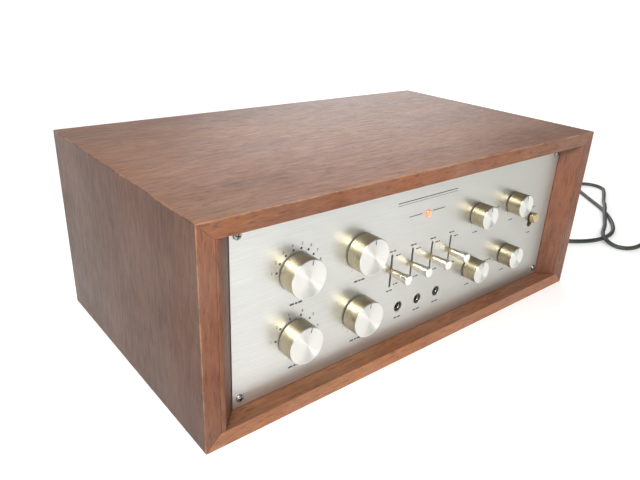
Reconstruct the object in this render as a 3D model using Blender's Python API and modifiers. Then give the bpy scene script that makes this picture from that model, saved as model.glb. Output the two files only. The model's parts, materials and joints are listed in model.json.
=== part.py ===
# Stereo control amplifier in a mitred walnut case.
#
# The frame stands at the middle of the case's underside: +X to the right as the panel is read,
# -Y out of the front panel, +Z up.  Every size is in metres.

import math

import bmesh
import bpy
from mathutils import Matrix, Vector

# Driving dimensions of the case
CASE_WIDTH = 0.453
CASE_DEPTH = 0.260
CASE_HEIGHT = 0.1726
BOARD = 0.0127
CLEARANCE = 0.0003              # air between pieces that touch

# Front panel
PANEL_WIDTH = 0.3905
PANEL_HEIGHT = 0.146
PANEL_THICK = 0.0032
PANEL_RECESS = 0.0156           # from the case's front edge back to the panel's face

# Front strips, which slope from the case's front edge down to the panel
STRIP_FLAT = 0.0035
STRIP_DEPTH = 0.034
STRIP_TO_PANEL = 0.0011

# Chassis
SHEET = 0.0012
CHASSIS_HALF_WIDTH = 0.1933
CHASSIS_TOP = 0.1565
CHASSIS_REAR = 0.1160           # Y of the tray's rear edge
FLOOR = BOARD + CLEARANCE       # the tray rests on the bottom board

# Knobs: columns and rows on the panel
LARGE_COLUMNS = (-0.1398, -0.0765)
SMALL_COLUMNS = (0.0698, 0.1264)
UPPER_ROW = 0.1110
LOWER_ROW = 0.0556
LARGE_KNOB_RADIUS = 0.0155
LARGE_KNOB_HEIGHT = 0.0155
SMALL_KNOB_RADIUS = 0.0110
SMALL_KNOB_HEIGHT = 0.0152
SELECTOR_SET = 11.25            # degrees clockwise from the top, the fifth of eight positions
MODE_SET = 16.5                 # the fourth of six positions
SHAFT_RADIUS = 0.0031
SHAFT_BORE = 0.0036             # turns clear of the shaft's facets
BUSHING_RADIUS = 0.0047
BUSHING_HOLE = 0.0051

# Lever switches
LEVER_COLUMNS = (-0.0402, -0.0152, 0.0098, 0.0349)
LEVER_HEIGHT = 0.0824           # Z of the pivots
LEVER_PIVOT_DEPTH = 0.032       # from the panel's face back to the pivots
LEVER_REACH = 0.0206            # from the panel's face out to the handle's end
SLOT_LENGTH = 0.0308
SLOT_WIDTH = 0.0022
PIVOT_RADIUS = 0.0012

# Power lever
POWER_COLUMN = 0.1642
POWER_HEIGHT = 0.0840
POWER_PIVOT_DEPTH = 0.020
POWER_REACH = 0.0070
POWER_TILT = 8.0                # degrees up or down from level
POWER_SLOT_LENGTH = 0.0155
POWER_SLOT_WIDTH = 0.0085

# Phone jacks, pilot lamp and corner screws
JACK_COLUMNS = (-0.0267, -0.0020, 0.0232)
JACK_HEIGHT = 0.0440
JACK_HOLE = 0.0047
JACK_BORE = 0.00325
LAMP_PLACE = (-0.0010, 0.1262)
LAMP_HOLE = 0.0041
SCREW_COLUMN = 0.1893
SCREW_ROWS = (0.0215, 0.1512)
SCREW_HOLE = 0.0023

# Rear fittings
SOCKET_COLUMNS = 8
SOCKET_PITCH = 0.020
SOCKET_FIRST_X = -0.150
SOCKET_LAST_X = SOCKET_FIRST_X + (SOCKET_COLUMNS - 1) * SOCKET_PITCH
SOCKET_ROWS = (0.078, 0.107)
OUTLET_COLUMNS = (0.078, 0.106, 0.134)
OUTLET_HEIGHT = 0.105
FUSE_PLACE = (0.108, 0.046)
GRIP_PLACE = (0.165, 0.042)
GRIP_HOLE = 0.0068

# Power cord
CORD_RADIUS = 0.0027
CORD_REST = 0.0030              # height of the cord's middle where it lies on the surface
COIL_CENTRE = (0.472, -0.1735)
COIL_RADIUS = 0.0297            # middle of the turns
CORD_ROUTE = (
    (0.1650, 0.1432, 0.0420), (0.1650, 0.1540, 0.0420), (0.1652, 0.1690, 0.0378),
    (0.1668, 0.1825, 0.0250), (0.1725, 0.1945, 0.0110), (0.1860, 0.2045, 0.0036),
    (0.2080, 0.2065, CORD_REST), (0.2370, 0.1920, CORD_REST), (0.2600, 0.1500, CORD_REST),
    (0.2810, 0.0700, CORD_REST), (0.2980, 0.0050, CORD_REST), (0.3170, -0.0520, CORD_REST),
    (0.3390, -0.0800, CORD_REST), (0.3720, -0.0965, CORD_REST), (0.4080, -0.0975, CORD_REST),
    (0.4430, -0.0830, CORD_REST), (0.4885, -0.0460, CORD_REST), (0.5250, -0.0010, CORD_REST),
    (0.5560, 0.0362, CORD_REST), (0.5712, 0.0448, CORD_REST), (0.5878, 0.0398, CORD_REST),
    (0.5958, 0.0248, CORD_REST), (0.5914, 0.0092, CORD_REST), (0.5770, -0.0008, CORD_REST),
    (0.5290, -0.0253, 0.0034), (0.5080, -0.0362, 0.0078), (0.4885, -0.0465, 0.0093),
    (0.4690, -0.0567, 0.0078), (0.4370, -0.0745, 0.0031), (0.4160, -0.0837, 0.0056),
    (0.3990, -0.0906, 0.0086), (0.3862, -0.0963, 0.0092), (0.3772, -0.1026, 0.0084),
    (0.3722, -0.1115, 0.0058), (0.3724, -0.1228, 0.0033), (0.3786, -0.1328, CORD_REST),
    (0.3895, -0.1380, CORD_REST), (0.4170, -0.1396, CORD_REST), (0.4510, -0.1411, CORD_REST),
)
CORD_STEP = 0.0155              # between the tube's points

# Planes worked out from the sizes above
FRONT = -CASE_DEPTH / 2
PANEL_FACE = FRONT + PANEL_RECESS
WALL_FRONT = PANEL_FACE + PANEL_THICK + CLEARANCE
WALL_BACK = WALL_FRONT + SHEET
BODY_FRONT = WALL_BACK + CLEARANCE
REAR_FRONT = CHASSIS_REAR + CLEARANCE
REAR_FACE = REAR_FRONT + SHEET
INNER_HALF_WIDTH = CASE_WIDTH / 2 - BOARD
PANEL_LOW = (CASE_HEIGHT - PANEL_HEIGHT) / 2
TOWARDS_FRONT = Matrix.Rotation(math.radians(90), 4, "X")    # turns local +Z to -Y
TOWARDS_REAR = Matrix.Rotation(math.radians(-90), 4, "X")    # turns local +Z to +Y
UPRIGHT = Matrix.Identity(4)

# Finishes: colour, roughness, metallic
FINISHES = {
    "walnut": ((0.18, 0.07, 0.035), 0.55, 0.0),
    "walnut_edge": ((0.33, 0.13, 0.055), 0.50, 0.0),
    "panel": ((0.72, 0.72, 0.68), 0.35, 0.9),
    "steel": ((0.55, 0.56, 0.56), 0.40, 0.9),
    "shield": ((0.50, 0.51, 0.52), 0.45, 0.8),
    "chrome": ((0.80, 0.80, 0.80), 0.15, 1.0),
    "knob": ((0.80, 0.74, 0.58), 0.30, 0.9),
    "brass": ((0.78, 0.62, 0.33), 0.30, 0.95),
    "black": ((0.02, 0.02, 0.02), 0.50, 0.0),
    "phenolic": ((0.20, 0.11, 0.05), 0.60, 0.0),
    "jewel": ((0.90, 0.30, 0.12), 0.10, 0.0),
    "iron": ((0.10, 0.10, 0.11), 0.50, 0.5),
    "can": ((0.70, 0.71, 0.72), 0.30, 0.9),
    "cord": ((0.03, 0.035, 0.03), 0.60, 0.0),
}


def clear_scene():
    for thing in list(bpy.data.objects):
        bpy.data.objects.remove(thing, do_unlink=True)


def collection(name):
    group = bpy.data.collections.new(name)
    bpy.context.scene.collection.children.link(group)
    return group


clear_scene()
PARTS = collection("control_amplifier")
CUTTERS = collection("cutters")


def finish(name):
    found = bpy.data.materials.get(name)
    if found:
        return found
    colour, roughness, metallic = FINISHES[name]
    made = bpy.data.materials.new(name)
    made.use_nodes = True
    shader = made.node_tree.nodes["Principled BSDF"]
    shader.inputs["Base Color"].default_value = (*colour, 1.0)
    shader.inputs["Roughness"].default_value = roughness
    shader.inputs["Metallic"].default_value = metallic
    return made


def add_piece(name, data, finish_name, place=(0, 0, 0), turn=UPRIGHT):
    """Puts a mesh or curve into the model as one named piece."""
    data.materials.clear()
    data.materials.append(finish(finish_name))
    piece = bpy.data.objects.new(name, data)
    piece.matrix_world = Matrix.Translation(place) @ turn
    PARTS.objects.link(piece)
    return piece


# Solids drawn into a bmesh, for plain pieces, joined shapes and cutters alike

def add_box(shape, low, high):
    low = Vector(low)
    high = Vector(high)
    made = bmesh.ops.create_cube(shape, size=1.0)["verts"]
    bmesh.ops.scale(shape, vec=high - low, verts=made)
    bmesh.ops.translate(shape, vec=(low + high) / 2, verts=made)
    return made


def add_rod(shape, start, end, radius, sides=12, end_radius=None):
    """A round bar, or a cone frustum, from one point to another."""
    start = Vector(start)
    end = Vector(end)
    along = end - start
    made = bmesh.ops.create_cone(
        shape, cap_ends=True, segments=sides, depth=along.length,
        radius1=radius, radius2=radius if end_radius is None else end_radius,
    )["verts"]
    turn = Vector((0, 0, 1)).rotation_difference(along).to_matrix().to_4x4()
    bmesh.ops.transform(shape, matrix=Matrix.Translation((start + end) / 2) @ turn, verts=made)
    return made


def add_stadium(shape, x, low_z, high_z, radius, start_y, end_y):
    """An upright slot with round ends, run through along Y."""
    middle = (low_z + high_z) / 2
    straight = (high_z - low_z) / 2 - radius
    made = add_rod(shape, (x, start_y, middle), (x, end_y, middle), radius)
    for vert in made:
        if abs(vert.co.z - middle) > radius * 0.01:
            vert.co.z += math.copysign(straight, vert.co.z - middle)
    return made


def mesh_from(name, shape):
    mesh = bpy.data.meshes.new(name)
    shape.to_mesh(mesh)
    shape.free()
    mesh.shade_smooth()
    mesh.set_sharp_from_angle(angle=math.radians(40))
    return mesh


def tool(name, shape):
    """A hidden shape that another piece is cut by or joined to."""
    made = bpy.data.objects.new(name, mesh_from(name, shape))
    made.hide_render = True
    made.display_type = "WIRE"
    CUTTERS.objects.link(made)
    return made


def combine(piece, name, shape, operation="DIFFERENCE"):
    change = piece.modifiers.new(name, "BOOLEAN")
    change.operation = operation
    change.object = tool(f"{piece.name}_{name}", shape)
    return change


def box(name, low, high, finish_name):
    shape = bmesh.new()
    middle = (Vector(low) + Vector(high)) / 2
    add_box(shape, Vector(low) - middle, Vector(high) - middle)
    return add_piece(name, mesh_from(name, shape), finish_name, middle)


def turned(name, profile, finish_name, place, turn=TOWARDS_FRONT, steps=24):
    """A turned piece. The profile is (radius, height) pairs from the axis at the top, down
    the outer side, and back to the axis."""
    mesh = bpy.data.meshes.new(name)
    edges = [(i, i + 1) for i in range(len(profile) - 1)]
    mesh.from_pydata([(radius, 0, height) for radius, height in profile], edges, [])
    piece = add_piece(name, mesh, finish_name, place, turn)
    screw = piece.modifiers.new("turn", "SCREW")
    screw.steps = steps
    screw.render_steps = steps
    screw.use_merge_vertices = True
    screw.merge_threshold = 0.00005
    screw.use_smooth_shade = True
    return piece


def flat_outline(name, outlines, thickness):
    """A curve of one outline and any holes in it, with the thickness shared about its plane."""
    curve = bpy.data.curves.new(name, "CURVE")
    curve.dimensions = "2D"
    curve.fill_mode = "BOTH"
    curve.extrude = thickness / 2
    for outline in outlines:
        spline = curve.splines.new("POLY")
        spline.points.add(len(outline) - 1)
        for point, (x, y) in zip(spline.points, outline):
            point.co = (x, y, 0, 1)
        spline.use_cyclic_u = True
    return curve


def arc(centre, radius, start, end, count):
    """Points along an arc, with the angles in degrees."""
    points = []
    for i in range(count):
        angle = math.radians(start + (end - start) * i / (count - 1))
        points.append((centre[0] + radius * math.cos(angle), centre[1] + radius * math.sin(angle)))
    return points


def to_mesh(piece):
    """Makes a curve piece a mesh with welded caps, in the same place."""
    ready = bpy.context.evaluated_depsgraph_get()
    mesh = bpy.data.meshes.new_from_object(piece.evaluated_get(ready))
    shape = bmesh.new()
    shape.from_mesh(mesh)
    bmesh.ops.remove_doubles(shape, verts=shape.verts, dist=0.00001)
    shape.to_mesh(mesh)
    shape.free()
    name = piece.name
    place = piece.matrix_world.copy()
    finish_name = piece.data.materials[0].name
    bpy.data.objects.remove(piece, do_unlink=True)
    return add_piece(name, mesh, finish_name, turn=place)


# Case

def case_board(name, across, along, thick, place, turn):
    """A board with both ends mitred: across is its outer face's length, along its depth.
    Its outer face is local +Z and its inner face, which is shorter, local -Z."""
    shape = bmesh.new()
    half = across / 2 - CLEARANCE * math.sqrt(2) / 2
    add_box(shape, (-half, -along / 2, -thick), (half, along / 2, 0))
    for vert in shape.verts:
        if vert.co.z < -thick / 2:
            vert.co.x -= math.copysign(thick, vert.co.x)
    return add_piece(name, mesh_from(name, shape), "walnut", place, turn)


def build_case():
    quarter = math.pi / 2
    half_width = CASE_WIDTH / 2
    middle = CASE_HEIGHT / 2
    boards = (
        ("case_top", CASE_WIDTH, (0, 0, CASE_HEIGHT), 0),
        ("case_bottom", CASE_WIDTH, (0, 0, 0), 2 * quarter),
        ("case_side_right", CASE_HEIGHT, (half_width, 0, middle), quarter),
        ("case_side_left", CASE_HEIGHT, (-half_width, 0, middle), -quarter),
    )
    for name, across, place, angle in boards:
        case_board(name, across, CASE_DEPTH, BOARD, place, Matrix.Rotation(angle, 4, "Y"))
    for name, side in (("front_strip_left", -1), ("front_strip_right", 1)):
        build_front_strip(name, side)


def build_front_strip(name, side):
    outer = INNER_HALF_WIDTH - CLEARANCE
    inner = PANEL_WIDTH / 2 + STRIP_TO_PANEL
    outline = [
        (side * outer, FRONT), (side * (outer - STRIP_FLAT), FRONT),
        (side * inner, PANEL_FACE - 0.0004), (side * inner, FRONT + STRIP_DEPTH),
        (side * outer, FRONT + STRIP_DEPTH),
    ]
    height = CASE_HEIGHT - 2 * (BOARD + CLEARANCE)
    curve = flat_outline(name, [outline], height)
    add_piece(name, curve, "walnut_edge", (0, 0, CASE_HEIGHT / 2))


# Panel and chassis

def drill(shape, x, z, radius, start_y=FRONT, end_y=FRONT + 0.05, sides=12):
    add_rod(shape, (x, start_y, z), (x, end_y, z), radius, sides)


def knob_places():
    for x in LARGE_COLUMNS + SMALL_COLUMNS:
        for z in (UPPER_ROW, LOWER_ROW):
            yield x, z


def add_front_openings(shape):
    """Everything that passes through both the panel and the chassis wall behind it."""
    for x, z in knob_places():
        drill(shape, x, z, BUSHING_HOLE)
    for x in LEVER_COLUMNS:
        add_box(
            shape,
            (x - SLOT_WIDTH / 2, FRONT, LEVER_HEIGHT - SLOT_LENGTH / 2),
            (x + SLOT_WIDTH / 2, FRONT + 0.05, LEVER_HEIGHT + SLOT_LENGTH / 2),
        )
    add_stadium(
        shape, POWER_COLUMN, POWER_HEIGHT - POWER_SLOT_LENGTH / 2,
        POWER_HEIGHT + POWER_SLOT_LENGTH / 2, POWER_SLOT_WIDTH / 2, FRONT, FRONT + 0.05,
    )
    for x in JACK_COLUMNS:
        drill(shape, x, JACK_HEIGHT, JACK_HOLE)
    drill(shape, *LAMP_PLACE, LAMP_HOLE)
    for x in (-SCREW_COLUMN, SCREW_COLUMN):
        for z in SCREW_ROWS:
            drill(shape, x, z, SCREW_HOLE, sides=8)


def build_face_panel():
    panel = box(
        "face_panel",
        (-PANEL_WIDTH / 2, PANEL_FACE, PANEL_LOW),
        (PANEL_WIDTH / 2, PANEL_FACE + PANEL_THICK, PANEL_LOW + PANEL_HEIGHT),
        "panel",
    )
    openings = bmesh.new()
    add_front_openings(openings)
    combine(panel, "openings", openings)


def build_panel_screws():
    """Each screw's head stands on the panel and its shank reaches through the chassis wall."""
    head = 0.0038
    shank = 0.0019
    length = 0.0105
    profile = [
        (0, 0.0021), (head * 0.6, 0.0018), (head, 0.0008), (head, CLEARANCE),
        (shank, CLEARANCE), (shank, -length), (0, -length),
    ]
    corners = [(x, z) for z in reversed(SCREW_ROWS) for x in (-SCREW_COLUMN, SCREW_COLUMN)]
    for number, (x, z) in enumerate(corners, 1):
        screw = turned(
            f"panel_screw_{number}", profile, "chrome", (x, PANEL_FACE, z), steps=10,
        )
        slot = bmesh.new()
        depth = PANEL_FACE - 0.0013
        add_box(slot, (x - 0.005, depth - 0.002, z - 0.0005), (x + 0.005, depth, z + 0.0005))
        combine(screw, "slot", slot)


def build_chassis():
    """An open tray: floor, two sides and a front wall that carries the controls."""
    shape = bmesh.new()
    add_box(
        shape,
        (-CHASSIS_HALF_WIDTH, WALL_FRONT, FLOOR),
        (CHASSIS_HALF_WIDTH, CHASSIS_REAR, CHASSIS_TOP),
    )
    open_faces = [face for face in shape.faces if face.normal.z > 0.5 or face.normal.y > 0.5]
    bmesh.ops.delete(shape, geom=open_faces, context="FACES")
    tray = add_piece("chassis_tray", mesh_from("chassis_tray", shape), "steel")
    wall = tray.modifiers.new("sheet", "SOLIDIFY")
    wall.thickness = SHEET
    wall.offset = -1
    openings = bmesh.new()
    add_front_openings(openings)
    combine(tray, "openings", openings)


def build_rear_panel():
    panel = box(
        "rear_panel",
        (-CHASSIS_HALF_WIDTH, REAR_FRONT, FLOOR),
        (CHASSIS_HALF_WIDTH, REAR_FACE, CHASSIS_TOP),
        "steel",
    )
    openings = bmesh.new()
    before = REAR_FRONT - 0.01
    beyond = REAR_FACE + 0.01
    add_box(
        openings,
        (SOCKET_FIRST_X - 0.008, before, SOCKET_ROWS[0] - 0.008),
        (SOCKET_LAST_X + 0.008, beyond, SOCKET_ROWS[1] + 0.008),
    )
    add_box(
        openings,
        (OUTLET_COLUMNS[0] - 0.012, before, OUTLET_HEIGHT - 0.011),
        (OUTLET_COLUMNS[-1] + 0.012, beyond, OUTLET_HEIGHT + 0.011),
    )
    drill(openings, *FUSE_PLACE, 0.0063, before, beyond)
    drill(openings, *GRIP_PLACE, GRIP_HOLE, before, beyond)
    combine(panel, "openings", openings)


def build_top_shield():
    """The vented cover that closes the chassis from above."""
    low = CHASSIS_TOP + CLEARANCE
    shield = box(
        "top_shield",
        (-CHASSIS_HALF_WIDTH, WALL_FRONT, low),
        (CHASSIS_HALF_WIDTH, REAR_FACE, low + SHEET),
        "shield",
    )
    vents = bmesh.new()
    for row in (-0.045, 0.035):
        for column in range(10):
            x = -0.1485 + column * 0.033
            add_box(vents, (x - 0.003, row, low - 0.01), (x + 0.003, row + 0.045, low + 0.01))
    combine(shield, "vents", vents)


# Rotary controls

def knob_profile(radius, height):
    """A knob with a rounded rim, hollow below, with a hub that takes the shaft."""
    wall = 0.0016
    hub = 0.0055
    bore = SHAFT_BORE
    foot = 0.0009
    return [
        (0, height), (radius - 0.0010, height), (radius, height - 0.0010),
        (radius, foot), (radius - wall, foot),
        (radius - wall, height - 0.0045), (hub, height - 0.0045), (hub, 0.0024),
        (bore, 0.0024), (bore, height - 0.0035), (0, height - 0.0035),
    ]


def build_knob(name, place, radius, height, steps, mark_angle):
    """The index line is cut into the rim, mark_angle degrees clockwise from the top."""
    knob = turned(name, knob_profile(radius, height), "knob", place, steps=steps)
    mark = bmesh.new()
    add_box(
        mark, (-0.0006, -height - 0.001, radius * 0.72), (0.0006, -height + 0.0005, radius + 0.001),
    )
    turn = Matrix.Rotation(math.radians(mark_angle), 4, "Y")
    combine(knob, "mark", mark).object.matrix_world = Matrix.Translation(place) @ turn


def build_shaft(name, place, knob_height):
    tip = knob_height - 0.0035 - CLEARANCE
    end = -0.0180
    profile = [(0, tip), (SHAFT_RADIUS, tip), (SHAFT_RADIUS, end), (0, end)]
    turned(name, profile, "can", place, steps=10)


def control_profile(sections):
    """A threaded bushing, open for the shaft, on a body given as (radius, start, end) steps
    counted back from the panel's face."""
    bore = SHAFT_BORE
    body = PANEL_FACE - BODY_FRONT
    profile = [(bore, 0.0014), (BUSHING_RADIUS, 0.0014), (BUSHING_RADIUS, body)]
    for radius, start, end in sections:
        profile.append((radius, body - start))
        profile.append((radius, body - end))
    profile.append((0, body - sections[-1][2]))
    profile.append((0, -0.0184))
    profile.append((bore, -0.0184))
    profile.append((bore, 0.0014))
    return profile


def switch_sections(wafers):
    """A rotary switch: a stop plate and wafers strung along a core."""
    core = 0.0070
    sections = [(0.0150, 0.0, 0.0040)]
    start = 0.0040
    for _ in range(wafers):
        sections.append((core, start, start + 0.0085))
        sections.append((0.0180, start + 0.0085, start + 0.0110))
        start += 0.0110
    return sections


def pot_sections(gangs):
    """A potentiometer of one can behind another."""
    sections = []
    start = 0.0
    for _ in range(gangs):
        sections.append((0.0120, start, start + 0.0100))
        sections.append((0.0100, start + 0.0100, start + 0.0115))
        start += 0.0115
    sections.append((0.0120, start, start + 0.0015))
    return sections


def build_rotary_controls():
    large = (LARGE_KNOB_RADIUS, LARGE_KNOB_HEIGHT, 22)
    small = (SMALL_KNOB_RADIUS, SMALL_KNOB_HEIGHT, 18)
    controls = (
        ("selector", LARGE_COLUMNS[0], UPPER_ROW, large, SELECTOR_SET, "switch", switch_sections(3)),
        ("mode", LARGE_COLUMNS[0], LOWER_ROW, large, MODE_SET, "switch", switch_sections(2)),
        ("volume", LARGE_COLUMNS[1], UPPER_ROW, large, 0.0, "pot", pot_sections(2)),
        ("balance", LARGE_COLUMNS[1], LOWER_ROW, large, 0.0, "pot", pot_sections(2)),
        ("treble_left", SMALL_COLUMNS[0], UPPER_ROW, small, 0.0, "pot", pot_sections(1)),
        ("treble_right", SMALL_COLUMNS[1], UPPER_ROW, small, 0.0, "pot", pot_sections(1)),
        ("bass_left", SMALL_COLUMNS[0], LOWER_ROW, small, 0.0, "pot", pot_sections(1)),
        ("bass_right", SMALL_COLUMNS[1], LOWER_ROW, small, 0.0, "pot", pot_sections(1)),
    )
    for name, x, z, (radius, height, steps), mark_angle, kind, sections in controls:
        place = (x, PANEL_FACE, z)
        build_knob(f"{name}_knob", place, radius, height, steps, mark_angle)
        build_shaft(f"{name}_shaft", place, height)
        body_finish = "phenolic" if kind == "switch" else "can"
        turned(
            f"{name}_{kind}", control_profile(sections), body_finish, place, steps=14,
        )


# Lever switches

def lever_arm(name, reach, hub, half_height, thickness, hole):
    """A flat arm in the plane of its swing, with its pivot at the origin and local +X out of
    the panel."""
    edge = math.degrees(math.asin(half_height / hub))
    outline = arc((0, 0), hub, edge, 360 - edge, 10)
    outline += [(reach, -half_height), (reach, half_height)]
    return flat_outline(name, [outline, arc((0, 0), hole, 0, 315, 8)], thickness)


def build_lever(name, x, z, depth, reach, grip_start, grip_radii, sizes, tilt=0.0):
    """One lever, arm and handle together, turning about an axis along X."""
    hub, half_height, thickness, hole = sizes
    grip_end = depth + reach
    arm_end = depth + grip_start + 0.002
    # local X runs out of the panel to -Y, local Y up, local Z along the pivot
    stand = Matrix(((0, 0, -1, 0), (-1, 0, 0, 0), (0, 1, 0, 0), (0, 0, 0, 1)))
    place = (x, PANEL_FACE + depth, z)
    turn = Matrix.Rotation(math.radians(tilt), 4, "X") @ stand
    curve = lever_arm(name, arm_end, hub, half_height, thickness, hole)
    lever = to_mesh(add_piece(name, curve, "brass", place, turn))
    handle = bmesh.new()
    begin = (depth + grip_start, 0, 0)
    add_rod(handle, begin, (grip_end, 0, 0), grip_radii[0], 14, grip_radii[1])
    combine(lever, "handle", handle, "UNION").object.matrix_world = lever.matrix_world


def build_switch_block(name, columns, z, half_height, margin, slot_width, depth):
    """A block with a slot for each lever and a pivot rod right across them."""
    back = PANEL_FACE + depth + 0.012
    low_x = columns[0] - margin
    high_x = columns[-1] + margin
    block = box(
        name, (low_x, BODY_FRONT, z - half_height), (high_x, back, z + half_height), "phenolic",
    )
    slots = bmesh.new()
    wall = 0.003
    half_slot = half_height - wall
    for x in columns:
        add_box(
            slots,
            (x - slot_width / 2, BODY_FRONT - 0.01, z - half_slot),
            (x + slot_width / 2, back - wall, z + half_slot),
        )
    combine(block, "slots", slots)
    rod = bmesh.new()
    pivot = PANEL_FACE + depth
    add_rod(rod, (low_x + 0.001, pivot, z), (high_x - 0.001, pivot, z), PIVOT_RADIUS, 12)
    combine(block, "rod", rod, "UNION")


def build_lever_switches():
    sizes = (0.0045, 0.0025, 0.0016, PIVOT_RADIUS + 0.0005)
    names = ("monitor_lever", "phono_lever", "low_filter_lever", "high_filter_lever")
    for name, x in zip(names, LEVER_COLUMNS):
        build_lever(
            name, x, LEVER_HEIGHT, LEVER_PIVOT_DEPTH, LEVER_REACH, 0.0036,
            (0.0029, 0.0044), sizes,
        )
    build_switch_block(
        "lever_switch_bank", LEVER_COLUMNS, LEVER_HEIGHT, 0.0200, 0.0090, 0.0040,
        LEVER_PIVOT_DEPTH,
    )
    build_lever(
        "power_lever", POWER_COLUMN, POWER_HEIGHT, POWER_PIVOT_DEPTH, POWER_REACH, 0.0016,
        (0.0050, 0.0052), (0.0040, 0.0020, 0.0030, PIVOT_RADIUS + 0.0005), -POWER_TILT,
    )
    build_switch_block(
        "power_switch", (POWER_COLUMN,), POWER_HEIGHT, 0.0150, 0.0070, 0.0050,
        POWER_PIVOT_DEPTH,
    )


# Jacks and pilot lamp

def build_jacks():
    body = PANEL_FACE - BODY_FRONT
    sleeve = JACK_HOLE - CLEARANCE - 0.0001
    profile = [
        (JACK_BORE, -0.0006), (sleeve, -0.0006), (sleeve, body), (0.0080, body),
        (0.0080, body - 0.0240), (0, body - 0.0240), (0, body - 0.0220),
        (JACK_BORE, body - 0.0220), (JACK_BORE, -0.0006),
    ]
    for name, x in zip(("left", "middle", "right"), JACK_COLUMNS):
        turned(
            f"phone_jack_{name}", profile, "black", (x, PANEL_FACE, JACK_HEIGHT), steps=16,
        )


def build_pilot_lamp():
    x, z = LAMP_PLACE
    radius = LAMP_HOLE - CLEARANCE - 0.0001
    body = PANEL_FACE - BODY_FRONT
    jewel = [
        (0, 0.0024), (radius * 0.55, 0.0020), (radius * 0.9, 0.0009), (radius, 0.0),
        (radius, body + CLEARANCE), (0, body + CLEARANCE),
    ]
    turned("pilot_jewel", jewel, "jewel", (x, PANEL_FACE, z), steps=12)
    holder = [
        (0.0046, body), (0.0062, body), (0.0062, body - 0.0220), (0, body - 0.0220),
        (0, body - 0.0205), (0.0046, body - 0.0205), (0.0046, body),
    ]
    turned("lamp_holder", holder, "can", (x, PANEL_FACE, z), steps=12)


# Pieces inside the chassis

def build_transformer():
    low = FLOOR + SHEET + CLEARANCE
    core = box("power_transformer", (0.100, 0.030, low), (0.165, 0.078, low + 0.058), "iron")
    coil = bmesh.new()
    add_box(coil, (0.113, 0.016, low + 0.012), (0.152, 0.092, low + 0.046))
    combine(core, "coil", coil, "UNION")


def build_filter_capacitor():
    low = FLOOR + SHEET + CLEARANCE
    height = 0.078
    radius = 0.0175
    profile = [
        (0, height), (radius - 0.0015, height), (radius, height - 0.0015), (radius, 0), (0, 0),
    ]
    turned("filter_capacitor", profile, "can", (0.066, 0.060, low), UPRIGHT, 16)


def build_circuit_board():
    """A board on four feet, with transistor cans and capacitors standing on it."""
    low = FLOOR + SHEET + CLEARANCE
    board_low = low + 0.012
    board_top = board_low + 0.0016
    board = box("circuit_board", (-0.175, -0.030, board_low), (0.035, 0.095, board_top), "phenolic")
    parts = bmesh.new()
    for x in (-0.168, 0.028):
        for y in (-0.023, 0.088):
            add_rod(parts, (x, y, low), (x, y, board_low + 0.0008), 0.003, 8)
    for column in range(5):
        x = -0.145 + column * 0.035
        for y in (0.000, 0.062):
            add_rod(parts, (x, y, board_low + 0.0008), (x, y, board_top + 0.007), 0.0042, 8)
        start = (x + 0.012, 0.018, board_low + 0.0008)
        end = (x + 0.012, 0.018, board_top + 0.020)
        add_rod(parts, start, end, 0.0060, 10)
    combine(board, "parts", parts, "UNION")


# Rear fittings

def build_input_sockets():
    """A strip of phono sockets, whose barrels stand out behind the rear panel."""
    face = REAR_FACE + CLEARANCE
    strip = box(
        "input_sockets",
        (SOCKET_FIRST_X - 0.012, face, SOCKET_ROWS[0] - 0.012),
        (SOCKET_LAST_X + 0.012, face + 0.0016, SOCKET_ROWS[1] + 0.012),
        "phenolic",
    )
    barrels = bmesh.new()
    for column in range(SOCKET_COLUMNS):
        x = SOCKET_FIRST_X + column * SOCKET_PITCH
        for z in SOCKET_ROWS:
            add_rod(barrels, (x, face + 0.0008, z), (x, face + 0.0095, z), 0.00415, 10)
    combine(strip, "barrels", barrels, "UNION")


def build_ac_outlets():
    face = REAR_FACE + CLEARANCE
    strip = box(
        "ac_outlets",
        (OUTLET_COLUMNS[0] - 0.016, face, OUTLET_HEIGHT - 0.015),
        (OUTLET_COLUMNS[-1] + 0.016, face + 0.0060, OUTLET_HEIGHT + 0.015),
        "black",
    )
    slots = bmesh.new()
    for x in OUTLET_COLUMNS:
        for offset in (-0.00635, 0.00635):
            add_box(
                slots,
                (x + offset - 0.0009, face + 0.001, OUTLET_HEIGHT - 0.0036),
                (x + offset + 0.0009, face + 0.010, OUTLET_HEIGHT + 0.0036),
            )
    combine(strip, "slots", slots)


def build_fuse_holder():
    x, z = FUSE_PLACE
    neck = 0.0060
    profile = [
        (0, 0.0085), (0.0064, 0.0085), (0.0070, 0.0078), (0.0070, CLEARANCE),
        (neck, CLEARANCE), (neck, -0.0200), (0, -0.0200),
    ]
    turned("fuse_holder", profile, "black", (x, REAR_FACE, z), TOWARDS_REAR, 14)


def build_cord_grip():
    """The strain relief: a flange on the rear panel and a sleeve that tapers to the cord."""
    x, z = GRIP_PLACE
    neck = GRIP_HOLE - CLEARANCE - 0.0001
    end = CORD_ROUTE[0][1] - REAR_FACE - CLEARANCE
    profile = [
        (0, end), (0.0036, end), (0.0056, 0.0034), (0.0086, 0.0030), (0.0086, CLEARANCE),
        (neck, CLEARANCE), (neck, -0.0040), (0, -0.0040),
    ]
    turned("cord_grip", profile, "black", (x, REAR_FACE, z), TOWARDS_REAR, 14)


# Power cord

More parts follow.
